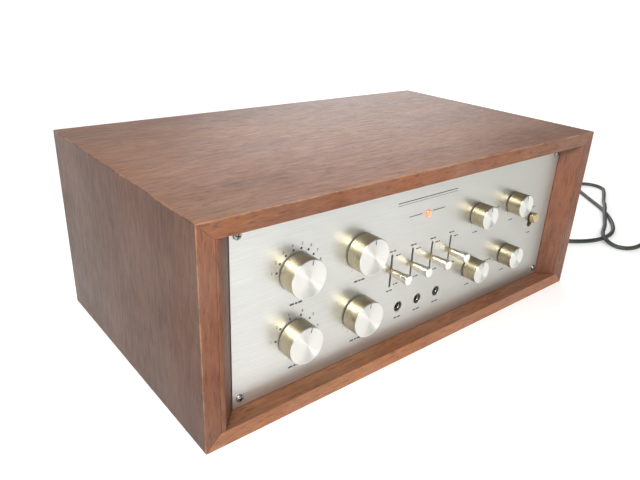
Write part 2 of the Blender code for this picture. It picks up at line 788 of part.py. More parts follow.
def smooth_line(points, step):
    """Points a step apart along a smooth curve (centripetal Catmull-Rom) through the route."""
    route = [Vector(point) for point in points]
    route.insert(0, 2 * route[0] - route[1])
    route.append(2 * route[-1] - route[-2])
    fine = []
    for i in range(1, len(route) - 2):
        p0, p1, p2, p3 = route[i - 1:i + 3]
        t1 = math.sqrt((p1 - p0).length)
        t2 = t1 + math.sqrt((p2 - p1).length)
        t3 = t2 + math.sqrt((p3 - p2).length)
        for k in range(20):
            t = t1 + (t2 - t1) * k / 20
            a1 = p0.lerp(p1, t / t1)
            a2 = p1.lerp(p2, (t - t1) / (t2 - t1))
            a3 = p2.lerp(p3, (t - t2) / (t3 - t2))
            b1 = a1.lerp(a2, t / t2)
            b2 = a2.lerp(a3, (t - t1) / (t3 - t1))
            fine.append(b1.lerp(b2, (t - t1) / (t2 - t1)))
    fine.append(route[-2])
    travelled = [0.0]
    for before, after in zip(fine, fine[1:]):
        travelled.append(travelled[-1] + (after - before).length)
    count = round(travelled[-1] / step)
    line = []
    i = 0
    for k in range(count + 1):
        wanted = travelled[-1] * k / count
        while i < len(fine) - 2 and travelled[i + 1] < wanted:
            i += 1
        share = (wanted - travelled[i]) / (travelled[i + 1] - travelled[i])
        line.append(fine[i].lerp(fine[i + 1], share))
    return line


def build_power_cord():
    curve = bpy.data.curves.new("power_cord", "CURVE")
    curve.dimensions = "3D"
    curve.bevel_depth = CORD_RADIUS
    curve.bevel_resolution = 2
    curve.use_fill_caps = True
    line = smooth_line(CORD_ROUTE, CORD_STEP)
    spline = curve.splines.new("POLY")
    spline.points.add(len(line) - 1)
    for point, place in zip(spline.points, line):
        point.co = (*place, 1)
    add_piece("power_cord", curve, "cord")


def build_cord_coil():
    """The outer shape of two layers of turns, two turns across, lying on the surface."""
    low = CORD_REST - CORD_RADIUS
    high = low + 4 * CORD_RADIUS
    outer = COIL_RADIUS + 2 * CORD_RADIUS
    inner = COIL_RADIUS - 2 * CORD_RADIUS
    profile = [(inner, high), (outer, high), (outer, low), (inner, low), (inner, high)]
    turned("cord_coil", profile, "cord", (*COIL_CENTRE, 0), UPRIGHT, 28)


def build_plug():
    """A two-blade plug that lies beside the coil, its blades pointing to -X."""
    half_height = 0.0064
    z = CORD_REST - CORD_RADIUS + half_height
    y = COIL_CENTRE[1] - COIL_RADIUS - CORD_RADIUS
    start = COIL_CENTRE[0] - 0.022
    neck_end = start - 0.013
    body_end = neck_end - 0.024
    plug = box(
        "plug", (body_end, y - 0.012, z - half_height), (neck_end, y + 0.012, z + half_height),
        "black",
    )
    rest = bmesh.new()
    add_rod(rest, (start, y, z), (neck_end - 0.002, y, z), 0.0034, 14, 0.0060)
    for side in (-1, 1):
        middle = y + side * 0.00635
        add_box(
            rest, (body_end - 0.016, middle - 0.0008, z - 0.0032),
            (body_end + 0.002, middle + 0.0008, z + 0.0032),
        )
    combine(plug, "rest", rest, "UNION")


build_case()
build_face_panel()
build_panel_screws()
build_chassis()
build_rear_panel()
build_top_shield()
build_rotary_controls()
build_lever_switches()
build_jacks()
build_pilot_lamp()
build_transformer()
build_filter_capacitor()
build_circuit_board()
build_input_sockets()
build_ac_outlets()
build_fuse_holder()
build_cord_grip()
build_power_cord()
build_cord_coil()
build_plug()
print(f"{len(PARTS.objects)} pieces")
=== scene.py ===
import json
import math
import bmesh
import bpy
from mathutils import Matrix, Vector


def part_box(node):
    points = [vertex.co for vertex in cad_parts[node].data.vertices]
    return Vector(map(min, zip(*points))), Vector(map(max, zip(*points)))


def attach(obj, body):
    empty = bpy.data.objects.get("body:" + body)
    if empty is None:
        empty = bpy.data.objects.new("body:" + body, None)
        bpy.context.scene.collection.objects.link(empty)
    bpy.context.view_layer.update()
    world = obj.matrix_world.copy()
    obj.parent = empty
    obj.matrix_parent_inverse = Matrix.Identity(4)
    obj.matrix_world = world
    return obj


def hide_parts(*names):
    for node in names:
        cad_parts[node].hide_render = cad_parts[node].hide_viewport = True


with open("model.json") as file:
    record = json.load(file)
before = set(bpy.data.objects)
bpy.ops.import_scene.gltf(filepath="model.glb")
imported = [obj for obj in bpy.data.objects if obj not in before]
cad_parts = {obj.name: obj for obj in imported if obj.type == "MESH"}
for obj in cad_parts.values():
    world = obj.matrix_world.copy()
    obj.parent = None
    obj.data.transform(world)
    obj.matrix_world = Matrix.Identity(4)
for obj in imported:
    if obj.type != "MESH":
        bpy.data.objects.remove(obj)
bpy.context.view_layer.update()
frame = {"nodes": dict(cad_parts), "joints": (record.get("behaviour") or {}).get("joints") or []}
scene = bpy.context.scene
print("frame loaded:", len(frame["nodes"]), "nodes")

# the two panels' faces and the joints give most places below
panelLow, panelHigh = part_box("face_panel")
panelFace = panelLow.y
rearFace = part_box("rear_panel")[1].y
jointPlace = {joint["child"]: Vector(joint["pos_m"]) for joint in frame["joints"]}
quarter = math.pi / 2
upwards = Matrix.Identity(4)
towardsFront = Matrix.Rotation(quarter, 4, "X")    # local Z runs out of the panel
towardsRear = Matrix.Rotation(-quarter, 4, "X")    # local Z runs out of the back
towardsRight = Matrix.Rotation(quarter, 4, "Y")    # local Z runs to +X


# camera

cameraSettings = {
    "place": (-0.3729, -0.4166, 0.3059),
    "turn": (66.042, -2.383, -38.939),       # degrees about X, Y and Z
    "lens": 33.40, "nearest": 0.01,
}

cameraData = bpy.data.cameras.new("camera")
cameraData.lens = cameraSettings["lens"]
cameraData.clip_start = cameraSettings["nearest"]
camera = bpy.data.objects.new("camera", cameraData)
camera.location = cameraSettings["place"]
camera.rotation_euler = [math.radians(angle) for angle in cameraSettings["turn"]]
scene.collection.objects.link(camera)
scene.camera = camera
scene.view_settings.view_transform = "Standard"


# making nodes and materials

def setSocket(tree, socket, value):
    if isinstance(value, bpy.types.NodeSocket):
        tree.links.new(value, socket)
    else:
        socket.default_value = value


def addNode(tree, kind, inputs=None, **settings):
    made = tree.nodes.new("ShaderNode" + kind)
    for key, value in settings.items():
        setattr(made, key, value)
    for key, value in (inputs or {}).items():
        setSocket(tree, made.inputs[key], value)
    return made


def calculate(tree, operation, first, second=0.0, clamp=False):
    return addNode(tree, "Math", {0: first, 1: second}, operation=operation, use_clamp=clamp).outputs[0]


def vectorMath(tree, operation, first, second=(0, 0, 0)):
    made = addNode(tree, "VectorMath", {0: first, 1: second}, operation=operation)
    return made.outputs["Value" if operation in ("LENGTH", "DOT_PRODUCT") else "Vector"]


def remap(tree, value, low, high, toLow=0.0, toHigh=1.0):
    inputs = {"Value": value, "From Min": low, "From Max": high, "To Min": toLow, "To Max": toHigh}
    return addNode(tree, "MapRange", inputs).outputs[0]


def spread(tree, value, toLow=0.0, toHigh=1.0):
    # most of a noise lies between these two values
    return remap(tree, value, 0.3, 0.7, toLow, toHigh)


def mixColour(tree, factor, first, second, blend="MIX"):
    # sockets 6 and 7 are the two colours of a Mix node
    inputs = {0: factor, 6: first, 7: second}
    return addNode(tree, "Mix", inputs, data_type="RGBA", blend_type=blend, clamp_factor=True).outputs[2]


def noise(tree, vector, scale, detail=2.0, roughness=0.5):
    inputs = {"Vector": vector, "Scale": scale, "Detail": detail, "Roughness": roughness}
    return addNode(tree, "TexNoise", inputs).outputs["Fac"]


def stretched(tree, vector, scale=(1, 1, 1), turn=(0, 0, 0), shift=(0, 0, 0)):
    inputs = {"Vector": vector, "Scale": scale, "Rotation": turn, "Location": shift}
    return addNode(tree, "Mapping", inputs).outputs[0]


def useGroup(tree, group, inputs):
    return addNode(tree, "Group", inputs, node_tree=group).outputs


def newGroup(name, inputs, outputs):
    group = bpy.data.node_groups.new(name, "ShaderNodeTree")
    for direction, sockets in (("INPUT", inputs), ("OUTPUT", outputs)):
        for socketName, kind in sockets.items():
            group.interface.new_socket(name=socketName, in_out=direction, socket_type="NodeSocket" + kind)
    return group, group.nodes.new("NodeGroupInput").outputs, group.nodes.new("NodeGroupOutput").inputs


def newMaterial(name):
    material = bpy.data.materials.new(name)
    material.use_nodes = True
    tree = material.node_tree
    return material, tree, addNode(tree, "TexCoord").outputs["Object"]


def finishMaterial(material, colour, rough, bump=None, others={}):
    # bump is the height, its distance and its strength; others are the shader's other values
    tree = material.node_tree
    shader = tree.nodes["Principled BSDF"]
    for key, value in {"Base Color": colour, "Roughness": rough, **others}.items():
        setSocket(tree, shader.inputs[key], value)
    if bump:
        inputs = dict(zip(("Height", "Distance", "Strength"), bump))
        tree.links.new(addNode(tree, "Bump", inputs).outputs[0], shader.inputs["Normal"])
    return material


# shared effects

# how much each part of the wood's figure is stretched, with the grain along X
grainScales = {
    "wander": (3, 9, 9), "bands": (5, 20, 20), "streaks": (50, 320, 320),
    "hairs": (75, 900, 900), "pores": (110, 760, 760),
}
grainWander = 0.020


def makeGrainGroup():
    # walnut figure: broad bands, fine streaks and open pores
    group, given, result = newGroup(
        "walnutGrain", {"Vector": "Vector", "Dark": "Color", "Light": "Color"},
        {"Color": "Color", "Height": "Float", "Streak": "Float"})

    def figure(part, vector, detail, roughness=0.5):
        return noise(group, stretched(group, vector, grainScales[part]), 1.0, detail, roughness)

    wander = calculate(group, "MULTIPLY", figure("wander", given["Vector"], 2.0), grainWander)
    line = vectorMath(group, "ADD", given["Vector"], addNode(group, "CombineXYZ", {1: wander}).outputs[0])
    bands = figure("bands", line, 4.0, 0.6)
    streaks = figure("streaks", line, 4.0, 0.65)
    pores = remap(group, figure("pores", line, 1.0), 0.57, 0.70)
    tone = calculate(group, "ADD", remap(group, bands, 0.30, 0.70, 0.0, 0.62),
                     remap(group, streaks, 0.30, 0.72, 0.0, 0.38))
    colour = mixColour(group, tone, given["Dark"], given["Light"])
    hairShade = remap(group, figure("hairs", line, 2.0), 0.35, 0.70, 0.86, 1.08)
    shade = calculate(group, "MULTIPLY", hairShade, remap(group, pores, 0, 1, 1.0, 0.60))
    grey = addNode(group, "CombineColor", {0: shade, 1: shade, 2: shade}).outputs[0]
    group.links.new(mixColour(group, 1.0, colour, grey, "MULTIPLY"), result["Color"])
    height = calculate(group, "SUBTRACT", calculate(group, "MULTIPLY", streaks, 0.5), pores)
    group.links.new(height, result["Height"])
    group.links.new(streaks, result["Streak"])
    return group


def makeWearGroup():
    # how near a point is to an edge of the box from Low to High, broken up by noise
    group, given, result = newGroup(
        "edgeWear", {"Vector": "Vector", "Low": "Vector", "High": "Vector", "Width": "Float"},
        {"Mask": "Float"})
    above = vectorMath(group, "SUBTRACT", given["Vector"], given["Low"])
    below = vectorMath(group, "SUBTRACT", given["High"], given["Vector"])
    parts = addNode(group, "SeparateXYZ", {0: vectorMath(group, "MINIMUM", above, below)}).outputs
    smaller = calculate(group, "MINIMUM", parts[0], parts[1])
    larger = calculate(group, "MAXIMUM", parts[0], parts[1])
    second = calculate(group, "MAXIMUM", smaller, calculate(group, "MINIMUM", larger, parts[2]))
    patches = noise(group, given["Vector"], 55.0, 4.0, 0.7)
    reach = calculate(group, "MULTIPLY", given["Width"], remap(group, patches, 0.42, 0.66, 0.25, 2.2))
    mask = calculate(group, "SUBTRACT", 1.0, calculate(group, "DIVIDE", second, reach), clamp=True)
    group.links.new(mask, result["Mask"])
    return group


def makeBrushGroup():
    # fine brushing along X, with a slower blotch that shows in the roughness
    group, given, result = newGroup(
        "brushedMetal", {"Vector": "Vector", "Fineness": "Float"}, {"Tone": "Float", "Blotch": "Float"})
    lines = vectorMath(group, "MULTIPLY", given["Vector"], (0.02, 1.0, 1.0))
    group.links.new(noise(group, lines, given["Fineness"], 2.0, 0.6), result["Tone"])
    group.links.new(noise(group, given["Vector"], 22.0, 3.0, 0.6), result["Blotch"])
    return group


grainGroup = makeGrainGroup()
wearGroup = makeWearGroup()
brushGroup = makeBrushGroup()

# the dark and the light colour of each face, and what lies over them; the faces are one walnut with painted
# light and shade: the sides and the uprights' front edges are painted darker as shade, the bottom board's
# front edge painted lighter as light from the floor
woodSettings = {
    "top": ((0.134, 0.054, 0.026, 1), (0.320, 0.145, 0.072, 1)),
    "side": ((0.050, 0.021, 0.010, 1), (0.122, 0.050, 0.025, 1)),
    "edge": ((0.138, 0.043, 0.016, 1), (0.335, 0.130, 0.048, 1)),
    "base": ((0.225, 0.082, 0.034, 1), (0.520, 0.230, 0.098, 1)),
    "post": ((0.110, 0.033, 0.013, 1), (0.270, 0.096, 0.037, 1)),
    "redTint": (1.0, 0.80, 0.66, 1), "sheenColour": (0.46, 0.36, 0.32, 1),
    "wornEdge": (0.62, 0.34, 0.17, 1), "wearWidth": 0.0008,
    # how much painted sheen the top and the side faces take
    "topHaze": 0.13, "sideHaze": 0.07, "gloss": 0.35,
}


def makeWood(name, tone, turn, shift, box, roughness=0.46, wornShare=0.45, sheenShare=0.15):
    material, tree, place = newMaterial(name)
    dark, light = woodSettings[tone]
    grain = useGroup(tree, grainGroup, {
        "Vector": stretched(tree, place, turn=turn, shift=shift), "Dark": dark, "Light": light})
    wear = useGroup(tree, wearGroup, {
        "Vector": place, "Low": box[0], "High": box[1], "Width": woodSettings["wearWidth"]})["Mask"]
    patches = noise(tree, stretched(tree, place, (6, 11, 11), turn, shift), 1.0, 4.0, 0.65)
    redness = remap(tree, patches, 0.40, 0.62, 0.0, 0.75)
    # painted sheen: patches of a pale grey-pink reflection mixed into the colour, more on the top than on
    # the sides
    paintedSheen = remap(tree, noise(tree, place, 9.0, 4.0, 0.65), 0.42, 0.70, 0.0, sheenShare)
    scratches = noise(tree, stretched(tree, place, (55, 420, 420), (0, 0.2, 0.5)), 1.0, 2.0)
    scuffs = remap(tree, scratches, 0.74, 0.80, 0.0, 0.35)
    colour = mixColour(tree, redness, grain["Color"], woodSettings["redTint"], "MULTIPLY")
    for share, layer in ((paintedSheen, "sheenColour"), (scuffs, "wornEdge"),
                         (calculate(tree, "MULTIPLY", wear, wornShare), "wornEdge")):
        colour = mixColour(tree, share, colour, woodSettings[layer])
    rough = spread(tree, grain["Streak"], roughness + 0.08, roughness - 0.05)
    return finishMaterial(material, colour, rough, (grain["Height"], 0.00012, 0.55),
                          {"Specular IOR Level": woodSettings["gloss"]})


def scaled(colour, share, lift=0.0):
    return tuple(min(1.0, value * share + lift) for value in colour) + (1,)


def brushedRoughness(tree, brush, low, high):
    return calculate(tree, "ADD", spread(tree, brush["Blotch"], low, high),
                     spread(tree, brush["Tone"], -0.03, 0.03))


def makeMetal(name, colour, roughness, fineness, depth, turn=(0, 0, 0)):
    # depth is how much darker the brushing is than the metal's colour
    material, tree, place = newMaterial(name)
    brush = useGroup(tree, brushGroup, {"Vector": stretched(tree, place, turn=turn), "Fineness": fineness})
    tone = mixColour(tree, spread(tree, brush["Tone"]),
                     scaled(colour, 1 - depth), scaled(colour, 1 + depth * 0.5))
    rough = brushedRoughness(tree, brush, roughness - 0.04, roughness + 0.05)
    return finishMaterial(material, tone, rough, (brush["Tone"], 0.00002, 0.5), {"Metallic": 1.0})


def makePlastic(name, colour, roughness, mottle=0.25):
    material, tree, place = newMaterial(name)
    slow = noise(tree, place, 40.0, 3.0, 0.6)
    tone = mixColour(tree, spread(tree, slow), scaled(colour, 1 - mottle), scaled(colour, 1 + mottle, 0.01))
    rough = spread(tree, slow, roughness - 0.06, roughness + 0.08)
    return finishMaterial(material, tone, rough, (noise(tree, place, 1200.0, 3.0, 0.6), 0.00004, 0.5))


def makePhenolic():
    # pressed paper board: brown, with a faint weave and darker flecks
    material, tree, place = newMaterial("phenolicBoard")
    weave = noise(tree, stretched(tree, place, (300, 300, 1400)), 1.0, 2.0)
    flecks = remap(tree, noise(tree, place, 700.0, 2.0), 0.58, 0.66)
    base = mixColour(tree, spread(tree, weave), (0.13, 0.062, 0.026, 1), (0.24, 0.125, 0.055, 1))
    return finishMaterial(material, mixColour(tree, flecks, base, (0.07, 0.034, 0.016, 1)),
                          spread(tree, weave, 0.42, 0.55), (weave, 0.00005, 0.5))


def makeLaminations():
    # a stack of varnished steel sheets, with its edges showing as fine lines
    material, tree, place = newMaterial("laminations")
    sheets = addNode(tree, "TexWave", {"Vector": place, "Scale": 700.0, "Distortion": 0.6},
                     bands_direction="Y").outputs["Fac"]
    varnish = noise(tree, place, 60.0, 3.0)
    base = mixColour(tree, sheets, (0.018, 0.017, 0.018, 1), (0.085, 0.075, 0.070, 1))
    colour = mixColour(tree, remap(tree, varnish, 0.5, 0.7, 0.0, 0.4), base, (0.10, 0.055, 0.02, 1))
    return finishMaterial(material, colour, spread(tree, varnish, 0.35, 0.6), (sheets, 0.0001, 0.5),
                          {"Metallic": 0.3})


def makeInk():
    material, tree, place = newMaterial("panelInk")
    patchy = remap(tree, noise(tree, place, 900.0, 3.0), 0.35, 0.7)
    colour = mixColour(tree, patchy, (0.035, 0.035, 0.037, 1), (0.10, 0.10, 0.10, 1))
    return finishMaterial(material, colour, 0.6)


def makeJewel():
    # a moulded lens that glows a little, brighter in places
    material, tree, place = newMaterial("pilotLens")
    glow = remap(tree, noise(tree, place, 420.0, 2.0), 0.40, 0.62)
    colour = mixColour(tree, glow, (0.90, 0.20, 0.07, 1), (1.0, 0.62, 0.48, 1))
    return finishMaterial(material, colour, 0.07, None, {
        "Coat Weight": 0.6, "Emission Strength": 0.35,
        "Emission Color": mixColour(tree, glow, (0.95, 0.16, 0.05, 1), (1.0, 0.50, 0.30, 1))})


def makeCordVinyl():
    material, tree, place = newMaterial("cordVinyl")
    slow = noise(tree, place, 60.0, 3.0, 0.6)
    colour = mixColour(tree, spread(tree, slow), (0.026, 0.032, 0.025, 1), (0.062, 0.070, 0.058, 1))
    return finishMaterial(material, colour, spread(tree, slow, 0.42, 0.58),
                          (noise(tree, place, 900.0, 2.0), 0.00006, 0.4))


# each metal's colour, roughness, fineness and depth of brushing
zincSteel = makeMetal("zincSteel", (0.56, 0.57, 0.56), 0.38, 700.0, 0.18)
goldPlate = makeMetal("goldPlate", (0.66, 0.54, 0.33), 0.34, 1200.0, 0.10, (0, 0, quarter))
palePlate = makeMetal("palePlate", (0.82, 0.76, 0.60), 0.36, 1200.0, 0.08, (0, 0, quarter))
brightTip = makeMetal("brightTip", (0.92, 0.90, 0.83), 0.28, 900.0, 0.06)
screwSteel = makeMetal("screwSteel", (0.40, 0.40, 0.39), 0.30, 500.0, 0.10)
nickelPlate = makeMetal("nickelPlate", (0.66, 0.64, 0.58), 0.26, 800.0, 0.08)
drawnCan = makeMetal("drawnCan", (0.66, 0.67, 0.68), 0.30, 700.0, 0.12)
blackPlastic = makePlastic("blackPlastic", (0.020, 0.020, 0.020), 0.46)
resistorBody = makePlastic("resistorBody", (0.20, 0.085, 0.035), 0.5)
phenolicBoard = makePhenolic()
laminations = makeLaminations()
panelInk = makeInk()
pilotLens = makeJewel()
cordVinyl = makeCordVinyl()
print("shared materials made")


# making pieces

weldDistance = 0.000004


def boxOf(node):
    low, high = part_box(node)
    return low, high, (low + high) / 2


def middleOf(node):
    return boxOf(node)[2]


def pieceNameOf(node):
    first, *others = node.split("_")
    return first + "".join(word.capitalize() for word in others)


def finishPiece(shape, materials, node=None, name=None, body="root", sharpAngle=35):
    name = name or pieceNameOf(node)
    mesh = bpy.data.meshes.new(name)
    shape.to_mesh(mesh)
    shape.free()
    for material in materials:
        mesh.materials.append(material)
    mesh.shade_smooth()
    mesh.set_sharp_from_angle(angle=math.radians(sharpAngle))
    piece = bpy.data.objects.new(name, mesh)
    scene.collection.objects.link(piece)
    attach(piece, body)
    if node:
        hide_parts(node)
    return piece


def moveShape(shape, verts, place, turn=upwards):
    bmesh.ops.transform(shape, matrix=Matrix.Translation(place) @ turn, verts=verts)


def vertsOf(faces):
    return list({vert for face in faces for vert in face.verts})


def paint(faces, index):
    for face in faces:
        face.material_index = index


def roundEdges(shape, edges, offset, segments=3):
    bmesh.ops.bevel(shape, geom=edges, offset=offset, segments=segments, profile=0.5,
                    affect="EDGES", material=-1, clamp_overlap=True)


def addBlock(shape, low, high, offset=0.0, segments=2):
    # gives back the faces that it made
    before = set(shape.faces)
    low, high = Vector(low), Vector(high)
    made = bmesh.ops.create_cube(shape, size=1.0)["verts"]
    bmesh.ops.scale(shape, vec=high - low, verts=made)
    bmesh.ops.translate(shape, vec=(low + high) / 2, verts=made)
    if offset:
        roundEdges(shape, list({edge for vert in made for edge in vert.link_edges}), offset, segments)
    return [face for face in shape.faces if face not in before]


def addTurned(shape, profile, place, turn=towardsFront, steps=48, index=0):
    # the profile's (radius, height) pairs are spun about local Z
    before = set(shape.faces)
    verts = [shape.verts.new((radius, 0, height)) for radius, height in profile]
    edges = [shape.edges.new(pair) for pair in zip(verts, verts[1:])]
    bmesh.ops.spin(shape, geom=verts + edges, cent=(0, 0, 0), axis=(0, 0, 1), dvec=(0, 0, 0),
                   angle=2 * math.pi, steps=steps, use_merge=True, use_duplicate=False)
    spun = [face for face in shape.faces if face not in before]
    bmesh.ops.remove_doubles(shape, verts=vertsOf(spun), dist=weldDistance)
    faces = [face for face in shape.faces if face not in before]
    paint(faces, index)
    bmesh.ops.recalc_face_normals(shape, faces=faces)
    moveShape(shape, vertsOf(faces), place, turn)
    return faces


def onPanel(middle):
    return middle.x, panelFace, middle.z


def onRear(middle):
    return middle.x, rearFace, middle.z


def arcPoints(centre, radius, start, end, count):
    points = []
    for i in range(count):
        angle = math.radians(start + (end - start) * i / (count - 1))
        points.append((centre[0] + radius * math.cos(angle), centre[1] + radius * math.sin(angle)))
    return points


def circlePoints(x, z, radius, count=40):
    return arcPoints((x, z), radius, 0, 360 * (count - 1) / count, count)


def slotPoints(x, z, length, width, count=10):
    # an upright slot with round ends
    radius = width / 2
    reach = length / 2 - radius
    return (arcPoints((x, z + reach), radius, 0, 180, count)
            + arcPoints((x, z - reach), radius, 180, 360, count))


def boxPoints(lowX, lowZ, highX, highZ):
    return [(lowX, lowZ), (highX, lowZ), (highX, highZ), (lowX, highZ)]


def outlineOf(low, high, inset=0.0):
    return boxPoints(low.x + inset, low.z + inset, high.x - inset, high.z - inset)


def domePoints(radius, start, rise, steps):
    # the profile of a low dome, from its rim to its top
    angles = [quarter * k / steps for k in range(1, steps)]
    return [(radius * math.cos(t), start + rise * math.sin(t)) for t in angles] + [(0, start + rise)]


def ribPoints(count, start, length, radius, taper, width, gap):
    # the flexible ribs of a sleeve that tapers to the cord
    deep, slope = 0.0009, 0.0003
    points = []
    for k in range(count):
        height = start + length * k / count
        outer = radius - taper * k / count
        points += [(outer, height), (outer, height + width), (outer - deep, height + width + slope),
                   (outer - deep, height + width + slope + gap)]
    return points


def drawnOut(points, vector):
    # an outline drawn out to a solid along a vector
    shape = bmesh.new()
    face = shape.faces.new([shape.verts.new(point) for point in points])
    drawn = bmesh.ops.extrude_face_region(shape, geom=[face])["geom"]
    moved = [item for item in drawn if isinstance(item, bmesh.types.BMVert)]
    bmesh.ops.translate(shape, vec=vector, verts=moved)
    bmesh.ops.recalc_face_normals(shape, faces=shape.faces)
    return shape


def shapeOfCurve(curve, place, turn):
    # takes a curve or a text's mesh and places it; the curve is removed
    holder = bpy.data.objects.new("outline", curve)
    scene.collection.objects.link(holder)
    ready = bpy.context.evaluated_depsgraph_get()
    mesh = bpy.data.meshes.new_from_object(holder.evaluated_get(ready))
    bpy.data.objects.remove(holder, do_unlink=True)
    bpy.data.curves.remove(curve)
    shape = bmesh.new()
    shape.from_mesh(mesh)
    bpy.data.meshes.remove(mesh)
    bmesh.ops.remove_doubles(shape, verts=shape.verts, dist=weldDistance)
    bmesh.ops.recalc_face_normals(shape, faces=shape.faces)
    moveShape(shape, shape.verts, place, turn)
    return shape


def plateShape(outlines, thick, roundness, place, turn=towardsFront, roundSteps=1):
    # a plate from an outline and its holes: local Z is the plate's front
    curve = bpy.data.curves.new("plate", "CURVE")
    curve.dimensions = "2D"
    curve.fill_mode = "BOTH"
    curve.extrude = thick / 2 - roundness
    curve.bevel_depth = roundness
    curve.bevel_resolution = roundSteps
    curve.offset = -roundness
    for outline in outlines:
        spline = curve.splines.new("POLY")
        spline.points.add(len(outline) - 1)
        for point, (x, y) in zip(spline.points, outline):
            point.co = (x, y, 0, 1)
        spline.use_cyclic_u = True
    return shapeOfCurve(curve, place, turn)


def addShape(shape, other):
    # takes another bmesh into this one
    mesh = bpy.data.meshes.new("joined")
    other.to_mesh(mesh)
    other.free()
    shape.from_mesh(mesh)
    bpy.data.meshes.remove(mesh)


# power cord: it lies along the surface, then goes into its coil and its plug

cordSettings = {
    "radius": 0.0027, "length": 1.83, "rest": 0.0030, "step": 0.006,
    "coilCentre": (0.472, -0.1735), "innerTurn": 0.0270, "outerTurn": 0.0324,
    "turns": 3.5, "pointsPerTurn": 36,
    # degrees along the coil at which it goes in, up, and out again
    "inward": (300, 360), "upward": (600, 660), "outward": (900, 960),
}
cordRest = cordSettings["rest"]
cordRoute = (
    (0.1650, 0.1432, 0.0420), (0.1650, 0.1540, 0.0420), (0.1652, 0.1690, 0.0378),
    (0.1668, 0.1825, 0.0250), (0.1725, 0.1945, 0.0110), (0.1860, 0.2045, 0.0036),
    (0.2080, 0.2065, cordRest), (0.2370, 0.1920, cordRest), (0.2600, 0.1500, cordRest),
    (0.2810, 0.0700, cordRest), (0.2980, 0.0050, cordRest), (0.3170, -0.0520, cordRest),
    (0.3390, -0.0800, cordRest), (0.3720, -0.0965, cordRest), (0.4080, -0.0975, cordRest),
    (0.4430, -0.0830, cordRest), (0.4885, -0.0460, cordRest), (0.5250, -0.0010, cordRest),
    (0.5560, 0.0362, cordRest), (0.5712, 0.0448, cordRest), (0.5878, 0.0398, cordRest),
    (0.5958, 0.0248, cordRest), (0.5914, 0.0092, cordRest), (0.5770, -0.0008, cordRest),
    (0.5290, -0.0253, 0.0034), (0.5080, -0.0362, 0.0078), (0.4885, -0.0465, 0.0093),
    (0.4690, -0.0567, 0.0078), (0.4370, -0.0745, 0.0031), (0.4160, -0.0837, 0.0056),
    (0.3990, -0.0906, 0.0086), (0.3862, -0.0963, 0.0092), (0.3772, -0.1026, 0.0084),
    (0.3722, -0.1115, 0.0058), (0.3724, -0.1228, 0.0033), (0.3786, -0.1328, cordRest),
    (0.3895, -0.1380, cordRest), (0.4170, -0.1396, cordRest), (0.4510, -0.1411, cordRest),
)


def smoothLine(points, step, fineness=20):
    # centripetal Catmull-Rom through the points, read off a step apart
    route = [Vector(point) for point in points]
    route = [2 * route[0] - route[1]] + route + [2 * route[-1] - route[-2]]
    fine = []
    for i in range(1, len(route) - 2):
        p0, p1, p2, p3 = route[i - 1:i + 3]
        t1 = math.sqrt((p1 - p0).length)
        t2 = t1 + math.sqrt((p2 - p1).length)
        t3 = t2 + math.sqrt((p3 - p2).length)
        for k in range(fineness):
            t = t1 + (t2 - t1) * k / fineness
            a1 = p0.lerp(p1, t / t1)
            a2 = p1.lerp(p2, (t - t1) / (t2 - t1))
            a3 = p2.lerp(p3, (t - t2) / (t3 - t2))
            b1 = a1.lerp(a2, t / t2)
            b2 = a2.lerp(a3, (t - t1) / (t3 - t1))
            fine.append(b1.lerp(b2, (t - t1) / (t2 - t1)))
    fine.append(route[-2])
    travelled = [0.0]
    for before, after in zip(fine, fine[1:]):
        travelled.append(travelled[-1] + (after - before).length)
    count = round(travelled[-1] / step)
    line = []
    i = 0
    for k in range(count + 1):
        wanted = travelled[-1] * k / count
        while i < len(fine) - 2 and travelled[i + 1] < wanted:
            i += 1
        share = (wanted - travelled[i]) / (travelled[i + 1] - travelled[i])
        line.append(fine[i].lerp(fine[i + 1], share))
    return line


def eased(value, start, end):
    share = min(1.0, max(0.0, (value - start) / (end - start)))
    return share * share * (3 - 2 * share)


def coilLine():
    # clockwise from the far side: round the outside, inside, up, inside again and out
    centre = cordSettings["coilCentre"]
    turns = cordSettings["turns"]
    spreadOut = cordSettings["outerTurn"] - cordSettings["innerTurn"]
    count = round(turns * cordSettings["pointsPerTurn"])
    line = []
    for i in range(count + 1):
        angle = 360 * turns * i / count
        inward = eased(angle, *cordSettings["inward"]) - eased(angle, *cordSettings["outward"])
        radius = cordSettings["outerTurn"] - spreadOut * inward
        height = cordRest + 2 * cordSettings["radius"] * eased(angle, *cordSettings["upward"])
        turned = math.radians(90 - angle)
        x, y = centre[0] + radius * math.cos(turned), centre[1] + radius * math.sin(turned)
        line.append(Vector((x, y, height)))
    return line


def makeCord():
    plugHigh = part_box("plug")[1]
    plugMiddle = middleOf("plug")
    line = smoothLine(cordRoute, cordSettings["step"]) + coilLine()
    last = line[-1]
    neck = Vector((plugHigh.x, plugMiddle.y, plugMiddle.z))
    line.append(last.lerp(neck, 0.35) + Vector((0, 0, 0.0003)))
    line.append(last.lerp(neck, 0.75) - Vector((0, 0, 0.0002)))
    line.append(neck - Vector((0.003, 0, 0)))
    curve = bpy.data.curves.new("powerCord", "CURVE")
    curve.dimensions = "3D"
    curve.bevel_depth = cordSettings["radius"]
    curve.bevel_resolution = 5
    curve.use_fill_caps = True
    spline = curve.splines.new("POLY")
    spline.points.add(len(line) - 1)
    for point, place in zip(spline.points, line):
        point.co = (*place, 1)
    spline.use_smooth = True
    curve.materials.append(cordVinyl)
    piece = bpy.data.objects.new("powerCord", curve)
    scene.collection.objects.link(piece)
    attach(piece, "root")
    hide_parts("power_cord", "cord_coil")
    return piece


# plug and cord grip

plugSettings = {
    "neckLength": 0.013, "bladeLength": 0.016, "bladeWidth": 0.0062, "bladeThick": 0.0015,
    "bladeApart": 0.0127, "bladeHole": 0.0015, "narrowing": (0.72, 0.88), "edge": 0.0026,
    "pads": 4, "padFirst": 0.0085, "padPitch": 0.0032, "padWidth": 0.0014, "padHalf": 0.0055,
}


